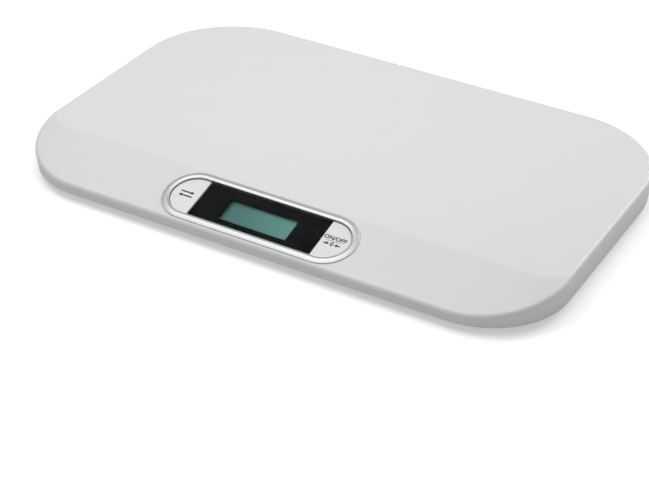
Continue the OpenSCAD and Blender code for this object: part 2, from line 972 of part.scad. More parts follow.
// Battery door: plate, hinge tabs, stiffening ribs and a latch tongue
door_hinge_y = bay_y + door_l / 2;
module battery_door() {
    color(white_abs)
        at_bay() {
            slab(base_z, base_z + door_t)
                rounded_box(door_w, door_l, 2);
            at_tabs()
                translate([-tab_w / 2, -eps, base_z + door_t - tab_t])
                    cube([tab_w, tab_out + eps, tab_t]);
            // Grip lines on the outside are raised on the latch end
            for (k = [0 : 3])
                translate([-9, -door_l / 2 + 6 + 2.4 * k, base_z - 0.4])
                    cube([18, 1, 0.4 + eps]);
            translate([-latch_w / 2, -door_l / 2 + 1, base_z + door_t - eps])
                cube([latch_w, 1, 3]);
            translate([-latch_w / 2, -door_l / 2 + 1 + eps, base_z + door_t + 2.2])
                rotate([-90, 0, -90])
                    linear_extrude(latch_w)
                        polygon([[0, 0.75], [1, 0.15], [0, -0.75]]);
        }
}

// Nickel plates at the ends of the bay. They join the cells in a row.
module battery_contacts() {
    plate_h = battery_d - 1.5;
    color(steel)
        at_bay()
            for (end = [-1, 1])
                for (k = [0 : battery_n - 1]) {
                    joins_next = (end > 0 ? k % 2 == 0 : k % 2 == 1) && k < battery_n - 1;
                    joined_last = (end > 0 ? k % 2 == 1 : k % 2 == 0) && k > 0;
                    if (!joined_last)
                        translate([battery_x(k) - plate_h / 2,
                            end * (bay_l / 2 - contact_t / 2) - contact_t / 2, battery_axis_z - plate_h / 2])
                            cube([plate_h + (joins_next ? battery_pitch : 0), contact_t, plate_h]);
                }
}

// Unit vector, and the cross product made a unit vector
function unit(v) = v / norm(v);
function side_of(t, up) = unit(cross(t, up));

// Tube of round section along a list of points: rings square to the path, closed ends
module tube_along(points, d, sides) {
    n = len(points);
    tangent = [for (i = [0 : n - 1])
        unit(points[min(i + 1, n - 1)] - points[max(i - 1, 0)])];
    up = abs(tangent[0][2]) > 0.9 ? [0, 1, 0] : [0, 0, 1];
    rings = [for (i = [0 : n - 1], j = [0 : sides - 1])
        let (s = side_of(tangent[i], up), b = cross(s, tangent[i]), a = 360 * j / sides)
            points[i] + d / 2 * (cos(a) * s + sin(a) * b)];
    walls = [for (i = [0 : n - 2], j = [0 : sides - 1], half = [0, 1])
        let (k = (j + 1) % sides, a = i * sides + j, b = i * sides + k)
            half == 0 ? [a, b, b + sides] : [a, b + sides, a + sides]];
    first = [[for (j = [sides - 1 : -1 : 0]) j]];
    last = [[for (j = [0 : sides - 1]) (n - 1) * sides + j]];
    polyhedron(points = rings, faces = concat(walls, first, last), convexity = 6);
}

// Smooth path through chosen points: a cubic between each pair, tangent to its neighbours
function smooth(p, steps) = [for (i = [0 : len(p) - 2], k = [0 : steps - 1])
        let (t = k / steps, a = p[max(i - 1, 0)], b = p[i], c = p[i + 1], e = p[min(i + 2, len(p) - 1)])
            b + t * (c - a) / 2 + t * t * (a - 2.5 * b + 2 * c - e / 2)
                + t * t * t * (1.5 * (b - c) + (e - a) / 2)];
function route(p, steps) = concat(smooth(p, steps), [p[len(p) - 1]]);

// Conical contact spring: one wire that winds from a wide foot to a narrow tip
spring_wire = 0.8;
spring_turns = 3.5;
module contact_spring() {
    n = 36;
    wound = spring_l - spring_wire;
    tube_along([for (i = [0 : n])
        let (t = i / n, a = 360 * spring_turns * t, r = 3.4 - 1.1 * t)
            [r * cos(a), r * sin(a), spring_wire / 2 + wound * t]], spring_wire, 6);
}

module battery_springs() {
    color(steel)
        at_bay()
            for (k = [0 : battery_n - 1])
                translate([battery_x(k), -battery_way(k) * (bay_l / 2 - contact_t), battery_axis_z])
                    rotate([-90 * battery_way(k), 0, 0])
                        contact_spring();
}

module battery_cells() {
    nub_l = 0.8;
    color("slategray")
        at_bay()
            for (k = [0 : battery_n - 1])
                translate([battery_x(k), 0, battery_axis_z])
                    rotate([-90 * battery_way(k), 0, 0])
                        translate([0, 0, bay_l / 2 - contact_t - 0.1 - battery_l]) {
                            cylinder(d = battery_d, h = battery_l - nub_l, $fn = 48);
                            cylinder(d = 3.8, h = battery_l, $fn = 32);
                        }
}

// Twin leads from the bay's end plates to the board's socket
battery_lead_d = 1.6;
module battery_leads() {
    lead_w = board_low - 2.3;
    color("firebrick")
        for (s = [-1, 1])
            tube_along(route([
                [bay_x + s * battery_x(battery_n - 1), bay_y - bay_l / 2 - bay_wall - 1, bay_roof - 3],
                [bay_x + s * 14, bay_y - bay_l / 2 - 7, bay_roof - 3],
                [bay_x + s * 3, bay_y - bay_l / 2 - 18, bay_roof - 4],
                [bay_x - 16 + s * 1.5, -80, bay_roof - 4.4],
                slope_point(socket_x + s * 1.5, socket_y + 14, lead_w),
                slope_point(socket_x + s * 1.5, socket_y, lead_w)], 4), battery_lead_d, 8);
}

// Leads from the load cells, held in guides on the bottom cover, to pads on the board
lead_d = 2.2;
lead_z = base_top + base_rib_h + lead_d / 2 + 0.4;
module lead(index, stops, end_u) {
    p = foot_places[index];
    side = sign(p[0]);
    lead_w = board_low - lead_d / 2 - 0.1;
    start_z = cell_z + cell_t + lead_d / 2 + 0.1;
    tube_along(route(concat(
        [[p[0], p[1] + cell_side / 2 - 4, start_z], [p[0], p[1] + bracket_side / 2 + 3, start_z]],
        [for (q = stops) [side * q[0], q[1], lead_z]],
        [slope_point(side * end_u, board_w / 2 + 9, lead_w - 2),
            slope_point(side * end_u, board_w / 2 - 3, lead_w)]), 4), lead_d, 8);
}

module load_cell_leads() {
    front = [[foot_x - 14, -guide_y], [guide_x, -guide_y], [guide_x - 24, -guide_y - 9]];
    back = [[foot_x - 10, foot_y + 35], [foot_x - 34, foot_y + 20], [guide_x + 8, guide_y],
        [guide_x - 12, 0], [post_x + 49, -guide_y - 4]];
    color("gainsboro")
        for (side = [0, 1]) {
            lead(side, front, post_x + 21);
            lead(2 + side, back, post_x + 9);
        }
}

module case_screws() {
    color(steel)
        for (p = screw_places)
            translate([p[0], p[1], base_z + screw_head_h + 0.2])
                screw(screw_head_d, screw_head_h, case_screw_d - 0.7, 9);
}

top_cover();
bottom_cover();
bezel_ring();
display_window();
window_tape();
display_carrier();
unit_button();
power_tare_button();
unit_plunger();
power_tare_plunger();
lcd_glass();
lcd_frame();
zebra_strips();
main_board();
board_chip();
board_components();
key_switches();
board_screws();
carrier_screws();
load_cells();
strain_gauges();
cell_brackets();
bracket_screws();
foot_front_left();
foot_front_right();
foot_back_left();
foot_back_right();
pad_front_left();
pad_front_right();
pad_back_left();
pad_back_right();
battery_door();
battery_contacts();
battery_springs();
battery_cells();
battery_leads();
load_cell_leads();
case_screws();
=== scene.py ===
"""Flat digital baby scale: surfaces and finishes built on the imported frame.

Lengths are in metres. X runs along the width, Y to the back and Z up, with the origin on
the floor under the middle of the platform. The display side faces -Y.
"""

import json
import math

import bmesh
import bpy
import numpy as np
from bpy.props import FloatProperty, FloatVectorProperty, IntProperty, PointerProperty
from mathutils import Matrix, Vector


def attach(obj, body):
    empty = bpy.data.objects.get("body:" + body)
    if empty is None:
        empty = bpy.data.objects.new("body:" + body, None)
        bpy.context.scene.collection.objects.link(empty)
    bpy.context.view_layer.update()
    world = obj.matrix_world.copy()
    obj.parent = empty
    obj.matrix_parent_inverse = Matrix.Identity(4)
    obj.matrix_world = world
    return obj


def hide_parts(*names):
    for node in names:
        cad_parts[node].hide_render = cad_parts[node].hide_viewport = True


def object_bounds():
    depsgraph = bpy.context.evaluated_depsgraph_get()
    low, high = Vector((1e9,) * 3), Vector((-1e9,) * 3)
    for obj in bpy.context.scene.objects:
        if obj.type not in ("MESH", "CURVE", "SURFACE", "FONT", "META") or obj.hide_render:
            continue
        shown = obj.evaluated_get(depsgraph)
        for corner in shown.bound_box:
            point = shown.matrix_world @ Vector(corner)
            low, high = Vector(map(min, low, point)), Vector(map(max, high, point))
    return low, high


bl_info = {
    "name": "Baby scale",
    "version": (1, 0, 0),
    "blender": (4, 5, 0),
    "location": "View3D > Sidebar > Baby scale",
    "description": "Builds the covers, display, keys, feet and finishes of a flat digital baby scale",
    "category": "Add Mesh",
}

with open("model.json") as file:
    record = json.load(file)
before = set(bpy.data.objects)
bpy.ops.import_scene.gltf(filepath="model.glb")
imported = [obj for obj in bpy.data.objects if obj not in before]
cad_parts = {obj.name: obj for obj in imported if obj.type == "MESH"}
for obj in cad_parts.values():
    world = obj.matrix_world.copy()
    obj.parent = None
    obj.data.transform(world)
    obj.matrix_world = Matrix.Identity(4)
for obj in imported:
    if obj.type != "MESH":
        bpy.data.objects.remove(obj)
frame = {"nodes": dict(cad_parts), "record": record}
CAD_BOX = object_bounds()
CELLS = 4
# Level of the circuit board's underside, square to the slope
BOARD_LOW = -0.0106554
# Two lengths nearer than this count as one
TOUCH = 1e-6
# Stands for a length of zero where something is divided by it
TINY = 1e-9
# How far the fine rows of the cover reach past its soft bend
BEND_GUARD = 0.0015


# Sizes and colours

def length(label, note, default):
    """A length property in metres, with its name, description and default."""
    return FloatProperty(name=label, description=note, default=default, min=0.0, unit="LENGTH",
                         subtype="DISTANCE", precision=5)


def tint(label, note, default):
    """A colour property, with its name, description and default."""
    return FloatVectorProperty(name=label, description=note, default=default, size=3, min=0.0,
                               max=1.0, subtype="COLOR")


class PlatformSizes(bpy.types.PropertyGroup):
    """Sizes of the top cover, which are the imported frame's own."""

    width: length("Width", "Side to side over the platform", CAD_BOX[1][0] - CAD_BOX[0][0])
    depth: length("Depth", "Front to back over the platform", CAD_BOX[1][1] - CAD_BOX[0][1])
    deck: length("Deck height", "Height of the deck above the floor", 0.034)
    foot: length("Skirt foot", "Height of the foot of the skirt above the floor", 0.007)
    back_corner: length("Back corner radius", "Radius of the back corners in plan", 0.1)
    front_corner: length("Front corner radius", "Radius of the front corners in plan", 0.08)
    edge: length("Edge radius", "Rounding where the deck turns down into the skirt", 0.004)
    draw: length("Skirt draw", "How far the skirt draws in to its foot", 0.0015)
    wall: length("Wall", "Thickness of the cover's wall", 0.0025)
    slope_run: length("Slope run", "From the front edge back to the crease", 0.064)
    slope_fall: FloatProperty(name="Slope fall", description="Fall for each unit of run",
                              default=0.25, min=0.05, max=0.5)
    crease_corner: length("Crease corner radius", "Radius of the crease's quarter turns", 0.036)
    crease_soft: length("Crease rounding", "Radius of the soft edge along the crease", 0.006)
    step_in: length("Foot step", "Height of the small upright at the foot of the skirt", 0.0005)


class DisplaySizes(bpy.types.PropertyGroup):
    """Sizes of the ring, the keys, the window and the liquid crystal glass."""

    middle: FloatProperty(name="Middle", description="Sideways place of the display's middle",
                          default=-0.008, unit="LENGTH", subtype="DISTANCE")
    drop: length("Drop", "From the crease down the slope to the ring's centre line", 0.0325)
    ring_length: length("Ring length", "Length over the ring", 0.199)
    ring_width: length("Ring width", "Width over the ring", 0.060)
    band: length("Ring band", "Width of the ring's band", 0.007)
    rise: length("Ring rise", "Height of the ring's crest above the slope", 0.0020)
    crest: length("Ring crest", "From the ring's inner edge to its crest", 0.0027)
    lap: length("Ring lap", "Part of the band that lies on the cover", 0.0022)
    key_length: length("Key length", "Length of each key along the ring", 0.0275)
    key_gap: length("Key gap", "Gap round each key", 0.0005)
    window_sink: length("Window depth", "Depth of the window's face below the slope", 0.0005)
    window_thick: length("Window thickness", "Thickness of the window", 0.0015)
    glass_length: length("Glass length", "Length of the liquid crystal glass", 0.078)
    glass_width: length("Glass width", "Width of the liquid crystal glass", 0.032)
    view_length: length("View length", "Length of the clear opening over the glass", 0.0705)
    view_width: length("View width", "Width of the clear opening over the glass", 0.026)
    view_side: FloatProperty(name="View side", description="Sideways place of the clear opening",
                             default=-0.0002, unit="LENGTH", subtype="DISTANCE", precision=5)
    view_up: FloatProperty(name="View up", description="Place of the clear opening up the slope",
                           default=-0.0015, unit="LENGTH", subtype="DISTANCE", precision=5)
    field: length("Field", "From the ring's end to the end of the field of faces round it", 0.0125)


class BaseSizes(bpy.types.PropertyGroup):
    """Sizes of the feet, the cells and the leads."""

    foot_x: length("Foot x", "Sideways distance of each foot from the middle", 0.2)
    foot_y: length("Foot y", "Front-to-back distance of each foot from the middle", 0.11)
    foot_width: length("Foot diameter", "Diameter of a foot", 0.036)
    pad_width: length("Pad diameter", "Diameter of a rubber pad", 0.030)
    pad_thick: length("Pad thickness", "Thickness of a rubber pad", 0.0024)
    bay_x: length("Bay x", "Sideways place of the battery bay", 0.06)
    bay_y: length("Bay y", "Front-to-back place of the battery bay", 0.025)
    cell_width: length("Cell diameter", "Diameter of a cell", 0.0105)
    cell_length: length("Cell length", "Length of a cell with its nub", 0.0445)
    cell_gap: length("Cell gap", "Gap between neighbouring cells", 0.0007)
    cell_axis: length("Cell axis", "Height of the cells' axes above the floor", 0.01655)
    spring_length: length("Spring length", "Length of a contact spring with a cell in", 0.0076)
    sides: IntProperty(name="Turned sides", description="Columns round a turned piece", default=64,
                       min=12, max=256)


class ScaleColours(bpy.types.PropertyGroup):
    """Colours of the finishes, as they are written in linear light."""

    cover: tint("Cover", "White of the top cover", (0.73, 0.73, 0.735))
    base: tint("Base", "White of the bottom cover and the door", (0.70, 0.70, 0.705))
    key: tint("Keys", "White of the two keys", (0.79, 0.79, 0.795))
    ring: tint("Ring", "Silver of the display ring", (0.36, 0.365, 0.375))
    window: tint("Window", "Black behind the window", (0.006, 0.006, 0.007))
    display: tint("Display", "Green of the idle display", (0.065, 0.162, 0.146))
    mark: tint("Print", "Black of the printed marks", (0.02, 0.02, 0.022))
    rubber: tint("Pads", "Dark grey of the rubber pads", (0.035, 0.035, 0.038))
    floor: tint("Floor", "Colour of the floor", (0.82, 0.82, 0.82))


# Meshes

class Shape:
    """Points and faces gathered from several grids, then welded into one mesh."""

    def __init__(self):
        self.points = []
        self.faces = []
        self.count = 0

    def grid(self, surface, closed=False, keep=None):
        """Adds a surface given as an array of rows, columns and coordinates.

        Its faces look outwards where the columns run anticlockwise and the rows run out and
        down. keep is a mask of the faces that are wanted, one for each row and column.
        """
        rows, columns = surface.shape[:2]
        row = np.arange(rows - 1)[:, None] * columns
        here = np.arange(columns if closed else columns - 1)[None, :]
        there = (here + 1) % columns
        faces = np.stack([row + here, row + columns + here, row + columns + there, row + there], -1)
        if keep is not None:
            faces = faces[keep]
        self.faces += (faces.reshape(-1, 4) + self.count).tolist()
        self.add(surface.reshape(-1, 3))

    def add(self, points):
        """Adds loose points and counts them."""
        self.points.append(points)
        self.count += len(points)

    def cap(self, loop, up=True):
        """Closes a flat loop of points with one face. up keeps the loop's own direction."""
        index = np.arange(len(loop)) + self.count
        self.faces.append((index if up else index[::-1]).tolist())
        self.add(loop)

    def build(self, name, smooth=40, weld=1e-7):
        """Makes the object: common points are welded and edges sharper than smooth stay sharp."""
        mesh = bpy.data.meshes.new(name)
        mesh.from_pydata(np.concatenate(self.points).tolist(), [], self.faces)
        work = bmesh.new()
        work.from_mesh(mesh)
        bmesh.ops.remove_doubles(work, verts=work.verts, dist=weld)
        bmesh.ops.dissolve_degenerate(work, edges=work.edges, dist=weld)
        work.to_mesh(mesh)
        work.free()
        mesh.polygons.foreach_set("use_smooth", np.ones(len(mesh.polygons), bool))
        mesh.set_sharp_from_angle(angle=math.radians(smooth))
        piece = bpy.data.objects.new(name, mesh)
        bpy.context.scene.collection.objects.link(piece)
        return piece


def seat(piece, body, material, slot, *nodes):
    """Gives a piece its material and its body, and hides the nodes it stands for; slot is not used.
    """
    piece.data.materials.clear()
    piece.data.materials.append(material)
    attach(piece, body)
    if nodes:
        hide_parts(*nodes)
    return piece


def on_slope(place, display, sizes):
    """Turns (u, v, w) on the slope into the frame.

    u runs along the ring, v up the slope from the ring's centre line and w out of its face.
    The slope hangs from the crease, turned about it by the angle of its fall.
    """
    turn = math.atan(sizes.slope_fall)
    u, v, w = np.moveaxis(np.asarray(place, float), -1, 0)
    run = v - display.drop
    crease_y = -sizes.depth / 2 + sizes.slope_run
    return np.stack([
        display.middle + u,
        crease_y + run * math.cos(turn) - w * math.sin(turn),
        sizes.deck + run * math.sin(turn) + w * math.cos(turn),
    ], -1)


def at_level(loop, level):
    """Gives a flat loop of points one height."""
    return np.concatenate([loop, np.full((len(loop), 1), level)], -1)


def arc(low, high, count):
    """Angles from low to high, given in degrees, as radians."""
    return np.radians(np.linspace(low, high, count))


# Top cover

def past_crease(x, y, sizes):
    """How far a point in plan lies outside the crease, below 0 on the flat deck, and the way out.

    The crease is a straight line along the front that turns into a quarter circle at each side.
    """
    radius = sizes.crease_corner
    corner_x = sizes.width / 2 - radius
    corner_y = -sizes.depth / 2 + sizes.slope_run + radius
    side = np.maximum(np.abs(x) - corner_x, 0)
    ahead = np.maximum(corner_y - y, 0)
    far = np.hypot(side, ahead)
    safe = np.maximum(far, TINY)
    return far - radius, np.sign(x) * side / safe, -ahead / safe


def bend_half(sizes):
    """Half the width of the crease's soft bend: its radius times the tangent of half the turn."""
    return sizes.crease_soft * math.tan(math.atan(sizes.slope_fall) / 2)


def deck_face(x, y, sizes):
    """Height and upward normal of the cover's face over a point in plan.

    The height is flat up to the bend, falls as the square of the way into the bend, and then
    falls evenly.
    """
    half = bend_half(sizes)
    past, out_x, out_y = past_crease(x, y, sizes)
    into = np.clip(past + half, 0, 2 * half)
    ramp = into ** 2 / (4 * half) + np.maximum(past - half, 0)
    tilt = sizes.slope_fall * into / (2 * half)
    normal = np.stack([tilt * out_x, tilt * out_y, np.ones_like(tilt)], -1)
    normal /= np.linalg.norm(normal, axis=-1, keepdims=True)
    return sizes.deck - sizes.slope_fall * ramp, normal


class Outline:
    """Columns round the platform, anticlockwise from the left end of the crease.

    Each column has a centre, an outward direction and a radius, so that the outline drawn in
    by a distance is the centre plus the direction times the radius less the distance.
    """

    def __init__(self, sizes, gap):
        half_x, half_y = sizes.width / 2, sizes.depth / 2
        front_x, front_y = half_x - sizes.front_corner, -half_y + sizes.front_corner
        back_x, back_y = half_x - sizes.back_corner, half_y - sizes.back_corner
        inner = sizes.crease_corner - sizes.edge
        reach = math.sqrt(sizes.crease_corner ** 2 - inner ** 2)
        self.end_y = -half_y + sizes.slope_run + sizes.crease_corner - reach
        turn, front_columns, gap_columns, side_columns, back_columns = 30, 8, 41, 14, 24
        along = np.concatenate([np.linspace(-front_x, gap[0], front_columns),
                                np.linspace(*gap, gap_columns),
                                np.linspace(gap[1], front_x, front_columns + 1)])

        # Runs that meet share a column, so lengths that agree to seven places count once
        along = np.unique(along.round(7))

        # Past the crease's ends the columns start close together and open up
        past_end = np.array([0.0004, 0.0008, 0.0012, 0.0017, 0.0024, 0.004, 0.007, 0.012])
        side = np.linspace(self.end_y, back_y, side_columns)[2:-1]
        side = np.concatenate([self.end_y + past_end, side])
        back = np.linspace(back_x, -back_x, back_columns)[1:-1]
        front = arc(180, 270, turn), arc(270, 360, turn)
        rear = arc(0, 90, turn), arc(90, 180, turn)

        def run(x, y, angle, radius):
            x, y, angle, radius = np.broadcast_arrays(x, y, angle, radius)
            return np.stack([x, y, np.cos(angle), np.sin(angle), radius], -1).astype(float)

        pieces = [
            run(-front_x, self.end_y, math.pi, sizes.front_corner)[None],
            run(-front_x, front_y, front[0], sizes.front_corner),
            run(along[1:-1], front_y, -math.pi / 2, sizes.front_corner),
            run(front_x, front_y, front[1], sizes.front_corner),
            run(front_x, self.end_y, 0.0, sizes.front_corner)[None],
            run(back_x, side, 0.0, sizes.back_corner),
            run(back_x, back_y, rear[0], sizes.back_corner),
            run(back, back_y, math.pi / 2, sizes.back_corner),
            run(-back_x, back_y, rear[1], sizes.back_corner),
            run(-back_x, side[::-1], math.pi, sizes.back_corner),
        ]
        self.columns = np.concatenate(pieces)
        self.front = sum(len(piece) for piece in pieces[:5])
        self.turn = turn
        self.along = along
        self.front_x = front_x
        self.sizes = sizes

    def at(self, inset):
        """Points of the outline drawn in by a distance, one or a distance for each column."""
        x, y, out_x, out_y, radius = self.columns.T
        return np.stack([x + out_x * (radius - inset), y + out_y * (radius - inset)], -1)

    def out(self):
        """Outward directions in plan."""
        return self.columns[:, 2:4]

    def crease(self):
        """Points of the crease for the front columns, matched to the outline by share of length."""
        sizes = self.sizes
        radius = sizes.crease_corner
        corner_x = sizes.width / 2 - radius
        crease_y = -sizes.depth / 2 + sizes.slope_run
        rim = self.at(sizes.edge)[:self.front]
        right = rim[-(self.turn + 1):]
        step = np.hypot(*np.diff(right, axis=0).T)
        share = np.concatenate([[0], np.cumsum(step)]) / step.sum()
        end = math.acos((radius - sizes.edge) / radius)
        straight = corner_x - self.front_x
        walk = share * (straight + radius * (math.pi / 2 - end))
        angle = -math.pi / 2 + np.maximum(walk - straight, 0) / radius
        x = np.where(walk < straight, self.front_x + walk, corner_x + radius * np.cos(angle))
        y = np.where(walk < straight, crease_y, crease_y + radius + radius * np.sin(angle))
        corner = np.stack([x, y], -1)
        middle = np.stack([self.along[1:-1], np.full(len(self.along) - 2, crease_y)], -1)
        return np.concatenate([corner[::-1] * [-1, 1], middle, corner])


def lift(plan, sizes):
    """Puts points in plan onto the cover's face."""
    height, _ = deck_face(plan[..., 0], plan[..., 1], sizes)
    return np.concatenate([plan, height[..., None]], -1)


def cover_surface(sizes, display):
    """Outer skin of the top cover, put together from its deck, slope, edge and skirt."""
    half_gap = display.ring_length / 2 + display.field
    gap = (display.middle - half_gap, display.middle + half_gap)
    outline = Outline(sizes, gap)
    crease = outline.crease()

    # The rim of the face, where the ball that rolls along the edge touches it
    centre = outline.at(sizes.edge)
    _, normal = deck_face(centre[:, 0], centre[:, 1], sizes)
    rim = lift(centre + sizes.edge * normal[:, :2], sizes)
    centre = np.concatenate([centre, (rim[:, 2] - sizes.edge * normal[:, 2])[:, None]], -1)

    shape = Shape()
    loops = deck_loops(outline, rim, crease, sizes)
    shape.grid(loops, closed=True)
    shape.cap(loops[0])
    slope, bend_row = slope_rows(outline, rim, crease, sizes)
    x = crease[:, 0]
    inside = (x[:-1] >= gap[0] - TOUCH) & (x[1:] <= gap[1] + TOUCH)
    keep = np.ones((len(slope) - 1, outline.front - 1), bool)
    keep[bend_row:, inside] = False
    shape.grid(slope, keep=keep)

    # The small corner between each end of the crease and the first point of the rim past it
    for pair in ([slope[:, -1], np.repeat(rim[outline.front][None], len(slope), 0)],
                 [np.repeat(rim[-1][None], len(slope), 0), slope[:, 0]]):
        shape.grid(np.stack(pair, 1))
    first, last = (np.flatnonzero(np.isclose(x, end))[0] for end in gap)
    shape.grid(display_field(slope[bend_row:, first:last + 1], sizes, display), closed=True)
    shape.grid(edge_and_skirt(outline, centre, normal, sizes), closed=True)
    return shape


def deck_loops(outline, rim, crease, sizes):
    """Loops of the flat deck, innermost first, that step in from the crease and from the rim."""
    half = bend_half(sizes)
    fade_length = 0.016
    edge = rim[:, :2].copy()
    edge[:outline.front] = crease
    inward = -outline.out()
    _, out_x, out_y = past_crease(crease[:, 0], crease[:, 1], sizes)
    inward[:outline.front] = -np.stack([out_x, out_y], -1)

    # Past the crease's ends the way in turns over to square by even steps
    fade = np.clip(1 - (edge[:, 1] - outline.end_y) / fade_length, 0, 1)
    fade[:outline.front] = 0
    swing = fade * math.atan2(inward[0, 1], abs(inward[0, 0]))
    beside = fade > 0
    square = np.stack([-np.sign(edge[:, 0]) * np.cos(swing), np.sin(swing)], -1)
    inward[beside] = square[beside]
    steps = np.array([half + BEND_GUARD, half, half / 2, 0])
    return lift(edge[None] + steps[:, None, None] * inward[None], sizes)


def slope_rows(outline, rim, crease, sizes):
    """Rows of the front slope from the crease to the rim, and the number of the bend's last row.

    The rows over the bend lie at set distances from the crease, but no further than a set share
    of the way to the rim. The others divide the rest evenly.
    """
    half = bend_half(sizes)
    most, rest_rows = np.array([0, 0.15, 0.3, 0.5]), 10
    reach = rim[:outline.front, :2] - crease
    size = np.maximum(np.linalg.norm(reach, axis=-1), TOUCH)
    bend = np.array([0, half / 2, half, half + BEND_GUARD])[:, None] / size[None]
    bend = np.minimum(bend, most[:, None])
    rest = bend[-1] + (1 - bend[-1]) * np.linspace(0, 1, rest_rows)[1:, None]
    share = np.concatenate([bend, rest])
    slope = lift(crease[None] + share[..., None] * reach[None], sizes)
    slope[-1] = rim[:outline.front]
    return slope, len(bend) - 1


def display_field(patch, sizes, display):
    """Field round the display: straight lines from its opening to the border of a slope patch."""
    rows = 6
    border = np.concatenate([patch[-1], patch[::-1, -1][1:], patch[0, ::-1][1:], patch[1:-1, 0]])
    opening = opening_points(border, sizes, display)
    share = np.linspace(0, 1, rows)[:, None, None]
    return opening + share * (border - opening)


def edge_and_skirt(outline, centre, normal, sizes):
    """Rows over the rolled edge and down the skirt.

    A ball of the edge's radius rolls along the border: its points are the ball's centre plus the
    radius times a direction that turns from the face's normal to the wall's. The skirt runs
    straight from the ball to its foot, and a small upright ends it.
    """
    ball_rows, skirt_rows = 8, 5
    foot_top = sizes.foot + sizes.step_in
    back_in = sizes.edge - sizes.draw
    rise = centre[:, 2] - foot_top
    lean = np.arcsin(sizes.edge / np.hypot(back_in, rise)) - np.arctan2(back_in, rise)
    out = outline.out()
    wall = np.concatenate([out * np.cos(lean)[:, None], -np.sin(lean)[:, None]], -1)
    turn = np.arccos(np.sum(normal * wall, -1))
    share = np.linspace(0, 1, ball_rows)[:, None]
    ball = np.sin((1 - share) * turn)[..., None] * normal + np.sin(share * turn)[..., None] * wall
    ball = centre + sizes.edge * ball / np.sin(turn)[:, None]
    foot = at_level(outline.at(sizes.draw), foot_top)
    skirt = ball[-1] + np.linspace(0, 1, skirt_rows)[1:, None, None] * (foot - ball[-1])
    under = foot - [0, 0, sizes.step_in]
    return np.concatenate([ball, skirt, under[None]])


def opening_points(border, sizes, display):
    """Points of the display's opening, one for each point of the border round it.

    Above and below the straight runs a point lies straight across. Round the ends the share of
    the border's length gives the angle on the half circle.
    """
    turn = math.atan(sizes.slope_fall)
    crease_y = -sizes.depth / 2 + sizes.slope_run
    u = border[:, 0] - display.middle
    v = (border[:, 1] - crease_y) / math.cos(turn) + display.drop
    radius = display.ring_width / 2 - display.lap
    straight = display.ring_length / 2 - display.lap - radius
    low, high, side = v.min(), v.max(), u.max()
    over = side - straight
    total = 2 * over + high - low
    mirrored = np.abs(u)
    walk = np.where(np.isclose(v, low), mirrored - straight,
                    np.where(np.isclose(v, high), total - (mirrored - straight), over + v - low))
    angle = math.pi * walk / total - math.pi / 2
    end = np.abs(u) > straight
    open_u = np.where(end, np.sign(u) * (straight + radius * np.cos(angle)), u)
    open_v = np.where(end, radius * np.sin(angle), np.where(v > 0, radius, -radius))
    return on_slope(np.stack([open_u, open_v, np.zeros_like(u)], -1), display, sizes)


# Display

def stadium(straight, turn=49):
    """Centres and outward directions round a long shape with half-round ends, anticlockwise."""
    angle = np.concatenate([arc(-90, 90, turn), arc(90, 270, turn)])
    centre = np.repeat([straight, -straight], turn)
    return centre, np.cos(angle), np.sin(angle)


def ring_surface(sizes, display):
    """The silver ring: a closed section carried round the long outline.

    The section is a low roof: an inner bevel up to a soft crest, a broader outer bevel down to
    a thin upright edge that is undercut at its foot, and a sleeve under its inner part that
    reaches down to the carrier.
    """
    sleeve_gap, inner_fall, outer_fall = 0.0003, 0.0009, 0.0013
    undercut, lip, chamfer = 0.0004, 0.0002, 0.00015
    band = display.band
    sleeve_low = wall_low(sizes)
    sleeve_out = band - display.lap - sleeve_gap
    inner_top, outer_top = display.rise - inner_fall, display.rise - outer_fall
    corners = [(0, sleeve_low), (0, inner_top), (display.crest, display.rise), (band, outer_top),
               (band, lip + chamfer), (band - undercut, lip), (band - undercut, 0.0),
               (sleeve_out, 0.0), (sleeve_out, sleeve_low)]
    soft = [0, 0.0003, 0.0009, 0.0002, 0.00005, 0, 0, 0, 0]
    section = softened(corners, soft)
    section = np.concatenate([section, section[:1]])
    radius = display.ring_width / 2 - band
    centre, out_u, out_v = stadium(display.ring_length / 2 - band - radius)
    reach = radius + section[:, :1]
    place = np.stack([centre + reach * out_u, reach * out_v,
                      np.broadcast_to(section[:, 1:], (len(section), len(centre)))], -1)
    shape = Shape()
    shape.grid(on_slope(place, display, sizes), closed=True)
    return shape


def key_loop(inset, display, turn=41):
    """Outline of the right-hand key, drawn in by a distance.

    The end of the ring's opening, cut off straight beside the window, with softened corners.
    """
    soft, corner_turn = 0.0009, 7
    radius = display.ring_width / 2 - display.band - display.key_gap
    end = display.ring_length / 2 - display.band - display.key_gap - radius
    cut = display.ring_length / 2 - display.band - display.key_gap - display.key_length
    corner = max(inset, soft)
    left = max(soft - inset, 0)
    round_end = arc(-90, 90, turn)
    upper, lower = arc(90, 180, corner_turn), arc(180, 270, corner_turn)
    u = np.concatenate([end + (radius - inset) * np.cos(round_end),
                        cut + corner + left * np.cos(upper), cut + corner + left * np.cos(lower)])
    v = np.concatenate([(radius - inset) * np.sin(round_end),
                        radius - corner + left * np.sin(upper),
                        -radius + corner + left * np.sin(lower)])
    return np.stack([u, v], -1)


def key_levels(sizes, display):
    """Top and underside of a key's face and the foot of its stem, square to the slope."""
    above_window, face_thick, below_carrier = 0.0002, 0.0009, 0.0005
    top = -display.window_sink + above_window
    return top, top - face_thick, carrier_low(sizes) - below_carrier


def wall_low(sizes):
    """Level of the cover's inner face under the slope, where the display carrier lies."""
    clearance = 0.00003
    return -sizes.wall * math.cos(math.atan(sizes.slope_fall)) - clearance


def carrier_low(sizes):
    """Level of the display carrier's underside."""
    carrier_thick = 0.0018
    return wall_low(sizes) - carrier_thick


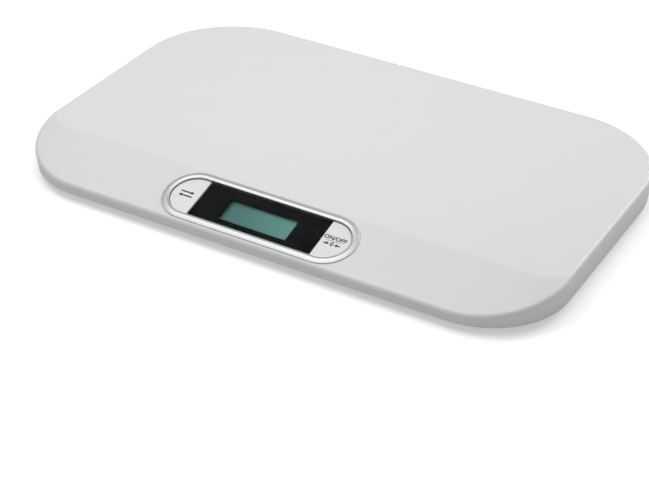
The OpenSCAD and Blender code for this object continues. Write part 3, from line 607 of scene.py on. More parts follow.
def key_surface(side, sizes, display):
    """A key: loops that climb from the stem's foot, round the edge and over the face."""
    top, low, stem_low = key_levels(sizes, display)
    soft, stem, chamfer = 0.00045, 0.0034, 0.00015
    crown_inset, crown, crown_top = (0.0012, 0.003), (0.00002, 0.00006), 0.00008
    inner_shares = (0.6, 0.25)
    bend = arc(0, 90, 7)
    rows = [(stem, stem_low), (stem, low), (chamfer, low), (0.0, low + chamfer)]
    rows += [(soft * (1 - math.cos(a)), top - soft + soft * math.sin(a)) for a in bend]
    rows += [(inset, top + rise) for inset, rise in zip(crown_inset, crown)]
    loops = [at_level(key_loop(inset, display), level) for inset, level in rows]
    middle = np.array([loops[-1][:, 0].mean(), 0.0, top + crown_top])
    loops += [middle + share * (loops[-1] - middle) for share in inner_shares]
    loops = np.array(loops)[::-1]
    turned = np.array([side, side, 1.0])
    place = on_slope(loops * turned, display, sizes)
    shape = Shape()
    shape.grid(place, closed=True)
    shape.cap(place[0])
    shape.cap(place[-1], up=False)
    return shape


def rounded_loop(long, wide, corner, u=0.0, v=0.0, turn=7):
    """Rectangle with rounded corners about (u, v), anticlockwise."""
    angle = np.concatenate([arc(start, start + 90, turn) for start in (-90, 0, 90, 180)])
    side_u = np.repeat([1, 1, -1, -1], turn) * (long / 2 - corner)
    side_v = np.repeat([-1, 1, 1, -1], turn) * (wide / 2 - corner)
    return np.stack([u + side_u + corner * np.cos(angle), v + side_v + corner * np.sin(angle)], -1)


def slab_surface(loops, levels, sizes, display, caps=True):
    """A plate on the slope: outlines at rising or falling levels, closed at both ends."""
    place = np.array([at_level(loop, level) for loop, level in zip(loops, levels)])
    place = on_slope(place, display, sizes)
    shape = Shape()
    shape.grid(place, closed=True)
    if caps:
        shape.cap(place[0])
        shape.cap(place[-1], up=False)
    return shape


def softened(corners, soft):
    """A turned profile whose inner corners are rounded.

    Each corner gives way to a parabola from a point before it to a point after it. soft is the
    distance of both points from each corner, held to a little under half of an edge.
    """
    most, steps = 0.45, 5
    corners = np.asarray(corners, float)
    share = np.linspace(0, 1, steps)[:, None]
    out = [corners[:1]]
    for before, corner, after, cut in zip(corners, corners[1:], corners[2:], soft[1:]):
        ahead, behind = after - corner, before - corner
        start = corner + behind * min(most, cut / max(np.hypot(*behind), TINY))
        end = corner + ahead * min(most, cut / max(np.hypot(*ahead), TINY))
        out.append((1 - share) ** 2 * start + 2 * share * (1 - share) * corner + share ** 2 * end)
    out.append(corners[-1:])
    return np.concatenate(out)


def turned_surface(profile, sides):
    """A profile of radius and height, top first, turned about the Z axis."""
    angle = np.linspace(0, 2 * math.pi, sides, endpoint=False)
    radius, height = profile[:, :1], profile[:, 1:]
    return np.stack([radius * np.cos(angle), radius * np.sin(angle),
                     np.broadcast_to(height, (len(profile), sides))], -1)


def smooth_path(stops, steps):
    """A cubic between each pair of stops, its direction at a stop set by the stops either side."""
    stops = np.asarray(stops, float)
    padded = np.concatenate([stops[:1], stops, stops[-1:]])
    t = np.linspace(0, 1, steps, endpoint=False)[:, None, None]
    a, b, c, e = padded[:-3], padded[1:-2], padded[2:-1], padded[3:]
    curve = (b + t * (c - a) / 2 + t ** 2 * (a - 2.5 * b + 2 * c - e / 2)
             + t ** 3 * (1.5 * (b - c) + (e - a) / 2))
    return np.concatenate([curve.transpose(1, 0, 2).reshape(-1, 3), stops[-1:]])


def tube_surface(path, width, sides):
    """A round section carried square to a path. Rows run along the path."""
    steep = 0.9
    along = np.gradient(path, axis=0)
    along /= np.linalg.norm(along, axis=-1, keepdims=True)
    up = np.array([0.0, 1.0, 0.0]) if abs(along[0, 2]) > steep else np.array([0.0, 0.0, 1.0])
    side = np.cross(along, up)
    side /= np.linalg.norm(side, axis=-1, keepdims=True)
    other = np.cross(side, along)
    angle = np.linspace(0, 2 * math.pi, sides, endpoint=False)[:, None]
    out = np.cos(angle) * side[:, None] + np.sin(angle) * other[:, None]
    return path[:, None] + width / 2 * out


def add_tube(shape, path, width, sides):
    """Adds a tube with closed ends to a shape."""
    tube = tube_surface(path, width, sides)
    shape.grid(tube, closed=True)
    shape.cap(tube[0])
    shape.cap(tube[-1], up=False)


def print_mesh(name, flat, place):
    """Gives a flat print's own mesh its place. place turns its points (x, y, z) into the frame."""
    count = len(flat.vertices)
    points = np.empty(count * 3)
    flat.vertices.foreach_get("co", points)
    flat.vertices.foreach_set("co", place(points.reshape(-1, 3)).ravel())
    flat.update()
    piece = bpy.data.objects.new(name, flat)
    bpy.context.scene.collection.objects.link(piece)
    return piece


def text_mesh(name, words, height, thick, bold=0.028):
    """Plain lettering as a mesh on the XY plane, centred, with a thin body and bolder strokes."""
    curve = bpy.data.curves.new(name, "FONT")
    curve.body = words
    curve.size = height
    curve.align_x = "CENTER"
    curve.align_y = "CENTER"
    curve.extrude = thick
    curve.offset = bold * height
    curve.resolution_u = 4
    holder = bpy.data.objects.new(name, curve)
    bpy.context.scene.collection.objects.link(holder)
    bpy.context.view_layer.update()
    ready = holder.evaluated_get(bpy.context.evaluated_depsgraph_get())
    flat = bpy.data.meshes.new_from_object(ready)
    bpy.data.objects.remove(holder)
    bpy.data.curves.remove(curve)
    return flat


def prism_mesh(name, outlines, thick):
    """Flat outlines, each anticlockwise, as thin plates on the XY plane."""
    shape = Shape()
    for outline in outlines:
        loop = np.asarray(outline, float)
        low, high = at_level(loop, -thick), at_level(loop, thick)
        shape.grid(np.array([high, low]), closed=True)
        shape.cap(high)
        shape.cap(low, up=False)
    holder = shape.build(name)
    flat = holder.data
    bpy.data.objects.remove(holder)
    return flat


def arrow(tip_x, tail_x, y, width):
    """Outline of a plain arrow along X, from tail to tip. width is half the width of its head."""
    way = 1 if tip_x > tail_x else -1
    head_length, shaft_half = 1.5 * width, 0.36 * width
    neck, half, head = tip_x - way * head_length, way * shaft_half, way * width
    return [(tail_x, y - half), (neck, y - half), (neck, y - head), (tip_x, y), (neck, y + head),
            (neck, y + half), (tail_x, y + half)]


# Finishes

# Sockets of a colour mix node: its two colours and its result
MIX_A, MIX_B, MIX_RESULT = 6, 7, 2


def add_node(tree, kind, **values):
    """Adds a node and sets its plain values."""
    node = tree.nodes.new(kind)
    for name, value in values.items():
        setattr(node, name, value)
    return node


def set_inputs(node, **values):
    """Sets a node's inputs, named with _ for each space, and gives the node back."""
    for label, value in values.items():
        node.inputs[label.replace("_", " ")].default_value = value
    return node


def wire(tree, *links):
    """Links sockets: each link is a node and its output, then a node and its input."""
    for source, output, target, socket in links:
        tree.links.new(source.outputs[output], target.inputs[socket])


def ramp(tree, start=0.0, stop=1.0, low=0.0, high=1.0, curve="LINEAR"):
    """A node that carries a value from between start and stop to between low and high."""
    node = add_node(tree, "ShaderNodeMapRange", interpolation_type=curve)
    return set_inputs(node, From_Min=start, From_Max=stop, To_Min=low, To_Max=high)


def noise(tree, detail, scale=5.0):
    """A noise node on Object coordinates."""
    place = add_node(tree, "ShaderNodeTexCoord")
    node = set_inputs(add_node(tree, "ShaderNodeTexNoise"), Scale=scale, Detail=detail)
    wire(tree, (place, "Object", node, "Vector"))
    return node


def product(tree, first, second):
    """A node that multiplies two values, each given as a node and its output."""
    node = add_node(tree, "ShaderNodeMath", operation="MULTIPLY")
    wire(tree, (*first, node, 0), (*second, node, 1))
    return node


def group_of(name, inputs, outputs):
    """A new shader node group with its sockets, and its input and output nodes."""
    tree = bpy.data.node_groups.new(name, "ShaderNodeTree")
    for label, kind, default in inputs:
        socket = tree.interface.new_socket(label, in_out="INPUT", socket_type=kind)
        socket.default_value = default
    for label, kind in outputs:
        tree.interface.new_socket(label, in_out="OUTPUT", socket_type=kind)
    return tree, add_node(tree, "NodeGroupInput"), add_node(tree, "NodeGroupOutput")


def tint_towards(tree, given, result, label, first, second):
    """Mixes the given Colour towards another by two masks and the given Amount."""
    both = product(tree, (first, "Result"), (second, "Result"))
    share = product(tree, (both, "Value"), (given, "Amount"))
    mix = add_node(tree, "ShaderNodeMix", data_type="RGBA")
    wire(tree, (share, "Value", mix, "Factor"), (given, "Colour", mix, MIX_A),
         (given, label, mix, MIX_B), (mix, MIX_RESULT, result, "Colour"),
         (share, "Value", result, "Mask"))


def grain_group():
    """Fine moulded grain: two sizes of noise give a height and a slow drift of roughness."""
    tree, given, result = group_of(
        "Moulded grain",
        [("Grain", "NodeSocketFloat", 1800.0), ("Drift", "NodeSocketFloat", 18.0),
         ("Rough Low", "NodeSocketFloat", 0.4), ("Rough High", "NodeSocketFloat", 0.5)],
        [("Height", "NodeSocketFloat"), ("Roughness", "NodeSocketFloat")])
    fine, slow, spread = noise(tree, detail=3.0), noise(tree, detail=4.0), ramp(tree)
    wire(tree, (given, "Grain", fine, "Scale"), (given, "Drift", slow, "Scale"),
         (slow, "Fac", spread, "Value"), (given, "Rough Low", spread, "To Min"),
         (given, "Rough High", spread, "To Max"), (fine, "Fac", result, "Height"),
         (spread, "Result", result, "Roughness"))
    return tree


def wear_group():
    """Edges: a rounded normal, and a worn colour where that normal leaves the face's own."""
    tree, given, result = group_of(
        "Edge wear",
        [("Colour", "NodeSocketColor", (0.5, 0.5, 0.5, 1.0)),
         ("Worn", "NodeSocketColor", (0.7, 0.7, 0.7, 1.0)),
         ("Width", "NodeSocketFloat", 0.0006), ("Amount", "NodeSocketFloat", 0.5)],
        [("Colour", "NodeSocketColor"), ("Mask", "NodeSocketFloat"), ("Normal", "NodeSocketVector")])
    bevel = add_node(tree, "ShaderNodeBevel", samples=4)
    face = add_node(tree, "ShaderNodeNewGeometry")
    dot = add_node(tree, "ShaderNodeVectorMath", operation="DOT_PRODUCT")
    edge, rub = ramp(tree, start=0.99, stop=0.85), ramp(tree, start=0.45, stop=0.65)
    patches = noise(tree, detail=5.0, scale=160.0)
    wire(tree, (given, "Width", bevel, "Radius"), (bevel, "Normal", dot, 0),
         (face, "Normal", dot, 1), (dot, "Value", edge, "Value"),
         (patches, "Fac", rub, "Value"), (bevel, "Normal", result, "Normal"))
    tint_towards(tree, given, result, "Worn", edge, rub)
    return tree


def dust_group():
    """Thin dust and handling: a cloudy mask, stronger on faces that look up, tints the colour."""
    tree, given, result = group_of(
        "Dust",
        [("Colour", "NodeSocketColor", (0.5, 0.5, 0.5, 1.0)),
         ("Dust Colour", "NodeSocketColor", (0.55, 0.53, 0.5, 1.0)),
         ("Amount", "NodeSocketFloat", 0.05)],
        [("Colour", "NodeSocketColor"), ("Mask", "NodeSocketFloat")])
    face = add_node(tree, "ShaderNodeNewGeometry")
    parts = add_node(tree, "ShaderNodeSeparateXYZ")
    clouds = noise(tree, detail=8.0, scale=35.0)
    up, thin = ramp(tree, start=-0.2, low=0.3), ramp(tree, start=0.35, stop=0.75)
    wire(tree, (face, "Normal", parts, "Vector"), (parts, "Z", up, "Value"),
         (clouds, "Fac", thin, "Value"))
    tint_towards(tree, given, result, "Dust Colour", up, thin)
    return tree


GROUPS = {"Moulded grain": grain_group, "Edge wear": wear_group, "Dust": dust_group}


def place_group(tree, name, **values):
    """Places a shared group, made when it is first asked for, and sets its inputs."""
    group = bpy.data.node_groups.get(name) or GROUPS[name]()
    return set_inputs(add_node(tree, "ShaderNodeGroup", node_tree=group), **values)


def new_material(name):
    """A new material with its node tree and its shader."""
    material = bpy.data.materials.new(name)
    material.use_nodes = True
    return material, material.node_tree, material.node_tree.nodes["Principled BSDF"]


def finish(name, colour, rough=(0.4, 0.5), metal=0.0, grain=1800.0, depth=0.02, drift=18.0,
           wear=0.4, dust=0.06, soft=0.0003, **sockets):
    """A moulded, drawn or cast finish: grain, edge wear and dust over one colour."""
    material, tree, shader = new_material(name)
    set_inputs(shader, Metallic=metal, **sockets)
    gain, offset, grain_height = 1.25, 0.02, 0.0002
    worn = [min(1.0, gain * value + offset) for value in colour]
    surface = place_group(tree, "Moulded grain", Grain=grain, Drift=drift, Rough_Low=rough[0],
                          Rough_High=rough[1])
    rubbed = place_group(tree, "Edge wear", Colour=(*colour, 1.0), Worn=(*worn, 1.0), Amount=wear,
                         Width=soft)
    dusty = place_group(tree, "Dust", Amount=dust)
    bump = set_inputs(add_node(tree, "ShaderNodeBump"), Strength=depth, Distance=grain_height)
    wire(tree, (rubbed, "Colour", dusty, "Colour"), (dusty, "Colour", shader, "Base Color"),
         (surface, "Roughness", shader, "Roughness"), (surface, "Height", bump, "Height"),
         (rubbed, "Normal", bump, "Normal"), (bump, "Normal", shader, "Normal"))
    return material


PRINTED = {"dust": 0.0, "wear": 0.0, "depth": 0.0}

# Each finish: its colour, or the name of its colour property, and what differs from finish's own
FINISHES = {
    "White cover": ("cover", {"rough": (0.34, 0.42), "depth": 0.03, "dust": 0.03, "wear": 0.1}),
    "White base": ("base", {"rough": (0.42, 0.52), "grain": 1300.0, "depth": 0.22, "dust": 0.08,
                            "wear": 0.2}),
    "White keys": ("key", {"rough": (0.3, 0.38), "dust": 0.02, "wear": 0.1}),
    "Satin silver": ("ring", {"rough": (0.34, 0.42), "metal": 0.9, "grain": 2500.0, "depth": 0.05,
                              "dust": 0.0, "wear": 0.2}),
    "Black border": ("window", {**PRINTED, "Specular_IOR_Level": 0.0}),
    "Idle display": ("display", {**PRINTED, "rough": (0.35, 0.45), "Specular_IOR_Level": 0.1}),
    "Key print": ("mark", {**PRINTED, "rough": (0.5, 0.6), "Specular_IOR_Level": 0.15}),
    "Pad rubber": ("rubber", {"rough": (0.7, 0.85), "depth": 0.2, "dust": 0.15}),
    "Foot plastic": ((0.6, 0.6, 0.61), {"rough": (0.45, 0.55), "dust": 0.1}),
    "Grey plastic": ((0.45, 0.45, 0.46), {"rough": (0.45, 0.55), "dust": 0.02}),
    "Black plastic": ((0.02, 0.02, 0.022), {"rough": (0.45, 0.55), "dust": 0.03}),
    "Conductive rubber": ((0.03, 0.03, 0.035), {"rough": (0.6, 0.7)}),
    "Board green": ((0.02, 0.13, 0.05), {"rough": (0.25, 0.35), "dust": 0.02}),
    "Black resin": ((0.01, 0.01, 0.01), {"rough": (0.12, 0.2), "dust": 0.02}),
    "Component tan": ((0.5, 0.38, 0.2), {"rough": (0.35, 0.5)}),
    "Screw steel": ((0.55, 0.55, 0.56), {"rough": (0.25, 0.35), "metal": 1.0, "dust": 0.02}),
    "Load cell steel": ((0.5, 0.5, 0.51), {"rough": (0.3, 0.42), "metal": 1.0, "dust": 0.02}),
    "Gauge coat": ((0.75, 0.72, 0.62), {"rough": (0.45, 0.6)}),
    "Nickel": ((0.62, 0.6, 0.56), {"rough": (0.2, 0.3), "metal": 1.0, "dust": 0.0}),
    "Cell can": ((0.55, 0.55, 0.55), {"rough": (0.22, 0.32), "metal": 1.0, "dust": 0.0}),
    "Cell jacket": ((0.05, 0.07, 0.12), {"rough": (0.2, 0.3), "dust": 0.02}),
    "Red lead": ((0.42, 0.03, 0.03), {}),
    "Grey lead": ((0.25, 0.25, 0.26), {}),
    "Tape": ((0.08, 0.08, 0.08), {"rough": (0.7, 0.8)}),
}

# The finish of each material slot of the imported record
SLOT_FINISHES = {
    "white_abs": "White base", "key_abs": "White base", "grey_abs": "Grey plastic",
    "black_plastic": "Black plastic", "pad_rubber": "Pad rubber",
    "conductive_rubber": "Conductive rubber", "board_green": "Board green",
    "resin": "Black resin", "component_tan": "Component tan", "screw_steel": "Screw steel",
    "cell_steel": "Load cell steel", "gauge_coat": "Gauge coat", "nickel": "Nickel",
    "cell_jacket": "Cell jacket", "lead_red": "Red lead", "lead_grey": "Grey lead",
    "foot_plastic": "Foot plastic", "tape": "Tape", "silver_trim": "Screw steel",
    "window_black": "Black plastic", "lcd": "Board green",
}


def look(name):
    """The finish of that name, made from its line in the list when it is first asked for."""
    colour, values = FINISHES[name]
    if isinstance(colour, str):
        colour = getattr(bpy.context.scene.scale_colours, colour)
    return bpy.data.materials.get(name) or finish(name, colour, **values)


def clear_finish(name, colour, rough, index):
    """Clear moulded acrylic with faint handling marks in its roughness."""
    material, tree, shader = new_material(name)
    set_inputs(shader, Base_Color=(*colour, 1.0), Transmission_Weight=1.0, IOR=index)
    surface = place_group(tree, "Moulded grain", Grain=500.0, Drift=60.0, Rough_Low=rough[0],
                          Rough_High=rough[1])
    wire(tree, (surface, "Roughness", shader, "Roughness"))
    return material


def display_painted_shade(display, sizes):
    """The idle display: painted shade darkens its colour along the edges under its deep border.

    Two smooth steps, one along X and one along Y, paint shade on the left and the upper edge, and a
    slow rise from left to right is painted light that lifts the rest.
    """
    material = look("Idle display")
    tree = material.node_tree
    shader = tree.nodes["Principled BSDF"]
    half, top = display.view_length / 2, display.view_width / 2
    over, shade_side, shade_top = 0.003, 0.007, 0.0055
    dark, painted_light_left, painted_light_right = 0.05, 0.9, 1.6
    ends = [(-half - over, top + over, 0), (-half + shade_side, top - shade_top, 0), (half, 0, 0)]
    outer, inner, right = on_slope(ends, display, sizes)
    place = add_node(tree, "ShaderNodeTexCoord")
    parts = add_node(tree, "ShaderNodeSeparateXYZ")
    # Painted shade along the left and the upper edge, where the border would cast it
    left = ramp(tree, outer[0], inner[0], dark, 1.0, "SMOOTHSTEP")
    upper = ramp(tree, outer[1], inner[1], dark, 1.0, "SMOOTHSTEP")
    # Painted light: the colour grows brighter from left to right
    across = ramp(tree, outer[0], right[0], painted_light_left, painted_light_right)
    wire(tree, (place, "Object", parts, "Vector"), (parts, "X", left, "Value"),
         (parts, "Y", upper, "Value"), (parts, "X", across, "Value"))
    both = product(tree, (left, "Result"), (upper, "Result"))
    whole = product(tree, (both, "Value"), (across, "Result"))
    shade = add_node(tree, "ShaderNodeVectorMath", operation="SCALE")
    tree.links.new(shader.inputs["Base Color"].links[0].from_socket, shade.inputs[0])
    wire(tree, (whole, "Value", shade, "Scale"), (shade, "Vector", shader, "Base Color"))
    return material


def paint_node(name, material):
    """Gives a CAD node its finish through its object's own material slots."""
    node = frame["nodes"][name]
    if not node.material_slots:
        node.data.materials.append(material)
    for slot in node.material_slots:
        slot.link = "OBJECT"
        slot.material = material


# Operators

class SCALE_OT_top_cover(bpy.types.Operator):
    """Top cover: flat deck, soft crease, front slope, rolled edge and skirt, open for the display"""

    bl_idname = "scale.top_cover"
    bl_label = "Top cover"

    def execute(self, context):
        sizes, display = context.scene.platform_sizes, context.scene.display_sizes
        piece = cover_surface(sizes, display).build("cover_skin", smooth=50, weld=1e-6)
        wall = piece.modifiers.new("Wall", "SOLIDIFY")
        wall.thickness = sizes.wall
        wall.offset = -1.0
        wall.use_even_offset = True
        seat(piece, "platform", look("White cover"), "white_abs", "top_cover")
        return {"FINISHED"}


class SCALE_OT_cover_bosses(bpy.types.Operator):
    """Screw bosses inside the top cover, for the case, the load cell brackets and the display"""

    bl_idname = "scale.cover_bosses"
    bl_label = "Cover bosses"

    def execute(self, context):
        sizes, display = context.scene.platform_sizes, context.scene.display_sizes
        base = context.scene.base_sizes
        columns, radius, small_radius = 32, 0.00375, 0.003
        case_low, case_hole, case_deep = sizes.foot + 0.0052, 0.0012, 0.0078
        ear_low, small_hole, ear_deep, carrier_deep = 0.021, 0.00105, 0.005, 0.003
        kinds = ((case_screw_places(sizes, display), case_low, case_hole, case_deep),
                 (bracket_ear_places(base), ear_low, small_hole, ear_deep))
        shape = Shape()
        for places, low, hole, deep in kinds:
            for x, y in places:
                height, _ = deck_face(np.array([x]), np.array([y - radius]), sizes)
                profile = boss_profile(radius, hole, low, deep, height[0] - sizes.wall / 2)
                shape.grid(turned_surface(profile, columns) + [x, y, 0.0], closed=True)
        past_ring, in_ring = 0.0005, 0.0095
        screw_u, screw_v = display.ring_length / 2 + past_ring, display.ring_width / 2 - in_ring
        profile = boss_profile(small_radius, small_hole, carrier_low(sizes), carrier_deep,
                               -sizes.wall / 2)
        for u in (-screw_u, screw_u):
            for v in (-screw_v, screw_v):
                place = turned_surface(profile, columns) + [u, v, 0.0]
                shape.grid(on_slope(place, display, sizes), closed=True)
        piece = shape.build("cover_bosses", smooth=35, weld=1e-6)
        seat(piece, "platform", look("White cover"), "white_abs")
        return {"FINISHED"}


def case_screw_places(sizes, display):
    """Plan of the ten case screws: sides, back row, beside the display, and inside the case."""
    side_in, end_in, past_ring = 0.024, 0.018, 0.034
    half_x, half_y = sizes.width / 2, sizes.depth / 2
    side, back, front = half_x - side_in, half_y - end_in, -half_y + end_in
    beside = display.ring_length / 2 + past_ring
    return [(-side, 0.005), (side, 0.005), (-0.22 * sizes.width, back), (0.0, back),
            (0.22 * sizes.width, back), (display.middle - beside, front),
            (display.middle + beside, front), (-0.16 * sizes.width, 0.12 * sizes.depth),
            (-0.07 * sizes.width, -0.14 * sizes.depth), (0.3 * sizes.width, -0.06 * sizes.depth)]


def bracket_ear_places(base):
    """Plan of the eight bracket screws: two ears beside each foot."""
    ear_out = 0.028
    return [(x * base.foot_x + ear * ear_out, y * base.foot_y)
            for x in (-1, 1) for y in (-1, 1) for ear in (-1, 1)]


def boss_profile(radius, hole, low, deep, top):
    """Profile of a screw boss, top first: its side, a rounded foot and a blind pilot hole."""
    roof = 0.0003
    deep = min(deep, top - low - roof)
    corners = [(0, top), (radius, top), (radius, low), (hole, low), (hole, low + deep),
               (0, low + deep)]
    return softened(corners, [0, 0, 0.0004, 0.0003, 0, 0])


class SCALE_OT_display_ring(bpy.types.Operator):
    """Silver ring round the display: a low roof with soft edges over a sleeve"""

    bl_idname = "scale.display_ring"
    bl_label = "Display ring"

    def execute(self, context):
        sizes, display = context.scene.platform_sizes, context.scene.display_sizes
        piece = ring_surface(sizes, display).build("display_ring", smooth=35)
        seat(piece, "platform", look("Satin silver"), "silver_trim", "bezel_ring")
        return {"FINISHED"}


class SCALE_OT_keys(bpy.types.Operator):
    """The two keys at the ends of the display, each on its own stem"""

    bl_idname = "scale.keys"
    bl_label = "Keys"

    def execute(self, context):
        sizes, display = context.scene.platform_sizes, context.scene.display_sizes
        for side, name, body, node in ((-1, "key_left", "unit_key", "unit_button"),
                                       (1, "key_right", "power_key", "power_tare_button")):
            piece = key_surface(side, sizes, display).build(name, smooth=35)
            seat(piece, body, look("White keys"), "key_abs", node)
        return {"FINISHED"}


class SCALE_OT_window(bpy.types.Operator):
    """Clear window with a black border printed behind it, over the liquid crystal glass"""

    bl_idname = "scale.window"
    bl_label = "Window and display"

    def execute(self, context):
        sizes, display = context.scene.platform_sizes, context.scene.display_sizes
        clear = clear_finish("Clear acrylic", (0.97, 0.98, 0.98), rough=(0.02, 0.05), index=1.08)

        def slab(name, loops, levels, caps=True):
            return slab_surface(loops, levels, sizes, display, caps).build(name, smooth=30)

        # The pane stops just over the border, which is a thin frame on its back
        soft, ink, ink_gap, side_gap = 0.0002, 0.0002, 0.00002, 0.0003
        corner, inner_corner, view_corner = 0.0004, 0.0003, 0.0006
        long = display.ring_length - 2 * (display.band + 2 * display.key_gap + display.key_length)
        wide = display.ring_width - 2 * display.band - 2 * side_gap
        top = -display.window_sink
        low = top - display.window_thick
        outer = rounded_loop(long, wide, corner)
        inner = rounded_loop(long - 2 * soft, wide - 2 * soft, inner_corner)
        pane = slab("window_pane", [inner, outer, outer], [top, top - soft, low + ink])
        seat(pane, "platform", clear, "window_black", "display_window")
        hole = rounded_loop(display.view_length, display.view_width, view_corner,
                            display.view_side, display.view_up)
        high = low + ink - ink_gap
        loops, levels = [hole, outer, outer, hole, hole], [high, high, low, low, high]
        border = slab("window_border", loops, levels, caps=False)
        seat(border, "platform", look("Black border"), "window_black")

        # The glass is two plates: a clear one in front and one behind that shows the idle colour,
        # with painted shade at its edges and painted light towards the right
        frame_thick, front_thick, glass_thick, plate_gap = 0.0003, 0.00185, 0.002, 0.00005
        edge_corner, face_corner = 0.0003, 0.0002
        long, wide = display.glass_length, display.glass_width
        high = low - frame_thick
        split, back_low = high - front_thick, high - glass_thick
        edge = rounded_loop(long, wide, edge_corner)
        face = rounded_loop(long - 2 * soft, wide - 2 * soft, face_corner)
        glass = slab("display_glass", [face, edge, edge], [high, high - soft, split])
        seat(glass, "platform", clear, "lcd", "lcd_glass")
        back = slab("display_back", [edge, edge], [split - plate_gap, back_low])
        seat(back, "platform", display_painted_shade(display, sizes), "lcd")
        return {"FINISHED"}


class SCALE_OT_marks(bpy.types.Operator):
    """Printed marks on the keys: ON/OFF over a zero mark on the right, a change mark on the left"""

    bl_idname = "scale.marks"
    bl_label = "Key marks"

    def execute(self, context):
        sizes, display = context.scene.platform_sizes, context.scene.display_sizes
        thick, above, word_height, zero_height = 0.00004, 0.00009, 0.0062, 0.0064
        right_in, left_in, line, rule_half, rule_thin = 0.0014, 0.0005, 0.0036, 0.008, 0.00018
        zero_tip, zero_tail, zero_width = 0.0026, 0.0082, 0.0019
        change_half, change_line, change_width = 0.0070, 0.0024, 0.0021
        level = key_levels(sizes, display)[0] + above
        middle = display.ring_length / 2 - display.band - display.key_gap - display.key_length / 2
        right_u, left_u = middle - right_in, -middle + left_in

        def put(name, flat, u, v, body):
            def place(points):
                return on_slope(points + [u, v, level], display, sizes)

            seat(print_mesh(name, flat, place), body, look("Key print"), "key_abs")

        rule = [(-rule_half, -rule_thin), (rule_half, -rule_thin), (rule_half, rule_thin),
                (-rule_half, rule_thin)]
        to_zero = [arrow(side * zero_tip, side * zero_tail, 0.0, zero_width) for side in (-1, 1)]
        change = [arrow(side * change_half, -side * change_half, side * change_line, change_width)
                  for side in (1, -1)]
        put("mark_on_off", text_mesh("mark_on_off", "ON/OFF", word_height, thick), right_u, line,
            "power_key")
        put("mark_rule", prism_mesh("mark_rule", [rule], thick), right_u, 0.0, "power_key")
        put("mark_zero", text_mesh("mark_zero", "0", zero_height, thick), right_u, -line,
            "power_key")
        put("mark_to_zero", prism_mesh("mark_to_zero", to_zero, thick), right_u, -line, "power_key")
        put("mark_change", prism_mesh("mark_change", change, thick), left_u, 0.0, "unit_key")
        return {"FINISHED"}


class SCALE_OT_feet(bpy.types.Operator):
    """Four turned feet with their stud, and the rubber pads with grip grooves set into them"""

    bl_idname = "scale.feet"
    bl_label = "Feet and pads"

    def execute(self, context):
        base = context.scene.base_sizes
        foot, pad = foot_profile(base), pad_profile(base)
        for name, way_x, way_y in (("front_left", -1, -1), ("front_right", 1, -1),
                                   ("back_left", -1, 1), ("back_right", 1, 1)):
            middle = np.array([way_x * base.foot_x, way_y * base.foot_y, 0.0])
            for kind, profile, surface, slot in (("foot", foot, "Foot plastic", "foot_plastic"),
                                                 ("pad", pad, "Pad rubber", "pad_rubber")):
                shape = Shape()
                shape.grid(turned_surface(profile, base.sides) + middle, closed=True)
                piece = shape.build(f"{kind}_{name}_turned", smooth=35, weld=1e-6)
                seat(piece, "platform", look(surface), slot, f"{kind}_{name}")
        return {"FINISHED"}


def foot_profile(base):
    """Profile of a foot, top first: stud with its snap rim, load boss, neck, cup and pad seat."""
    stud_end, stud, snap_rim, boss, collar, neck = 0.0016, 0.0022, 0.003, 0.005, 0.007, 0.010
    stud_top, rim_low, boss_top, boss_low = 0.0172, 0.0159, 0.01395, 0.0132
    neck_top, cup_top, pad_gap = 0.0122, 0.0094, 0.0002
    radius, seat_radius = base.foot_width / 2, base.pad_width / 2 + pad_gap
    low = base.pad_thick / 2
    corners = [(0, stud_top), (stud_end, stud_top), (snap_rim, rim_low), (stud, rim_low),
               (stud, boss_top), (boss, boss_top), (boss, boss_low), (collar, boss_low),
               (neck, neck_top), (neck, cup_top), (radius, cup_top), (radius, low),
               (seat_radius, low), (seat_radius, base.pad_thick), (0, base.pad_thick)]
    soft = [0, 2e-4, 2e-4, 1e-4, 2e-4, 2e-4, 2e-4, 3e-4, 3e-4, 6e-4, 1.2e-3, 1.2e-3, 3e-4, 2e-4, 0]
    return softened(corners, soft)


def pad_profile(base):
    """Profile of a pad, top first: a disc with two round grip grooves in its lower face."""
    radius, groove, half, pitch = base.pad_width / 2, 0.00045, 0.0006, 0.004
    corners = [(0, base.pad_thick), (radius, base.pad_thick), (radius, 0.0)]
    for middle in (radius - pitch, radius - 2 * pitch):
        corners += [(middle + half, 0.0), (middle + half, groove), (middle - half, groove),
                    (middle - half, 0.0)]
    corners.append((0, 0.0))
    soft = [0, 2e-4, 5e-4] + [1.5e-4] * (len(corners) - 3)
    return softened(corners, soft)


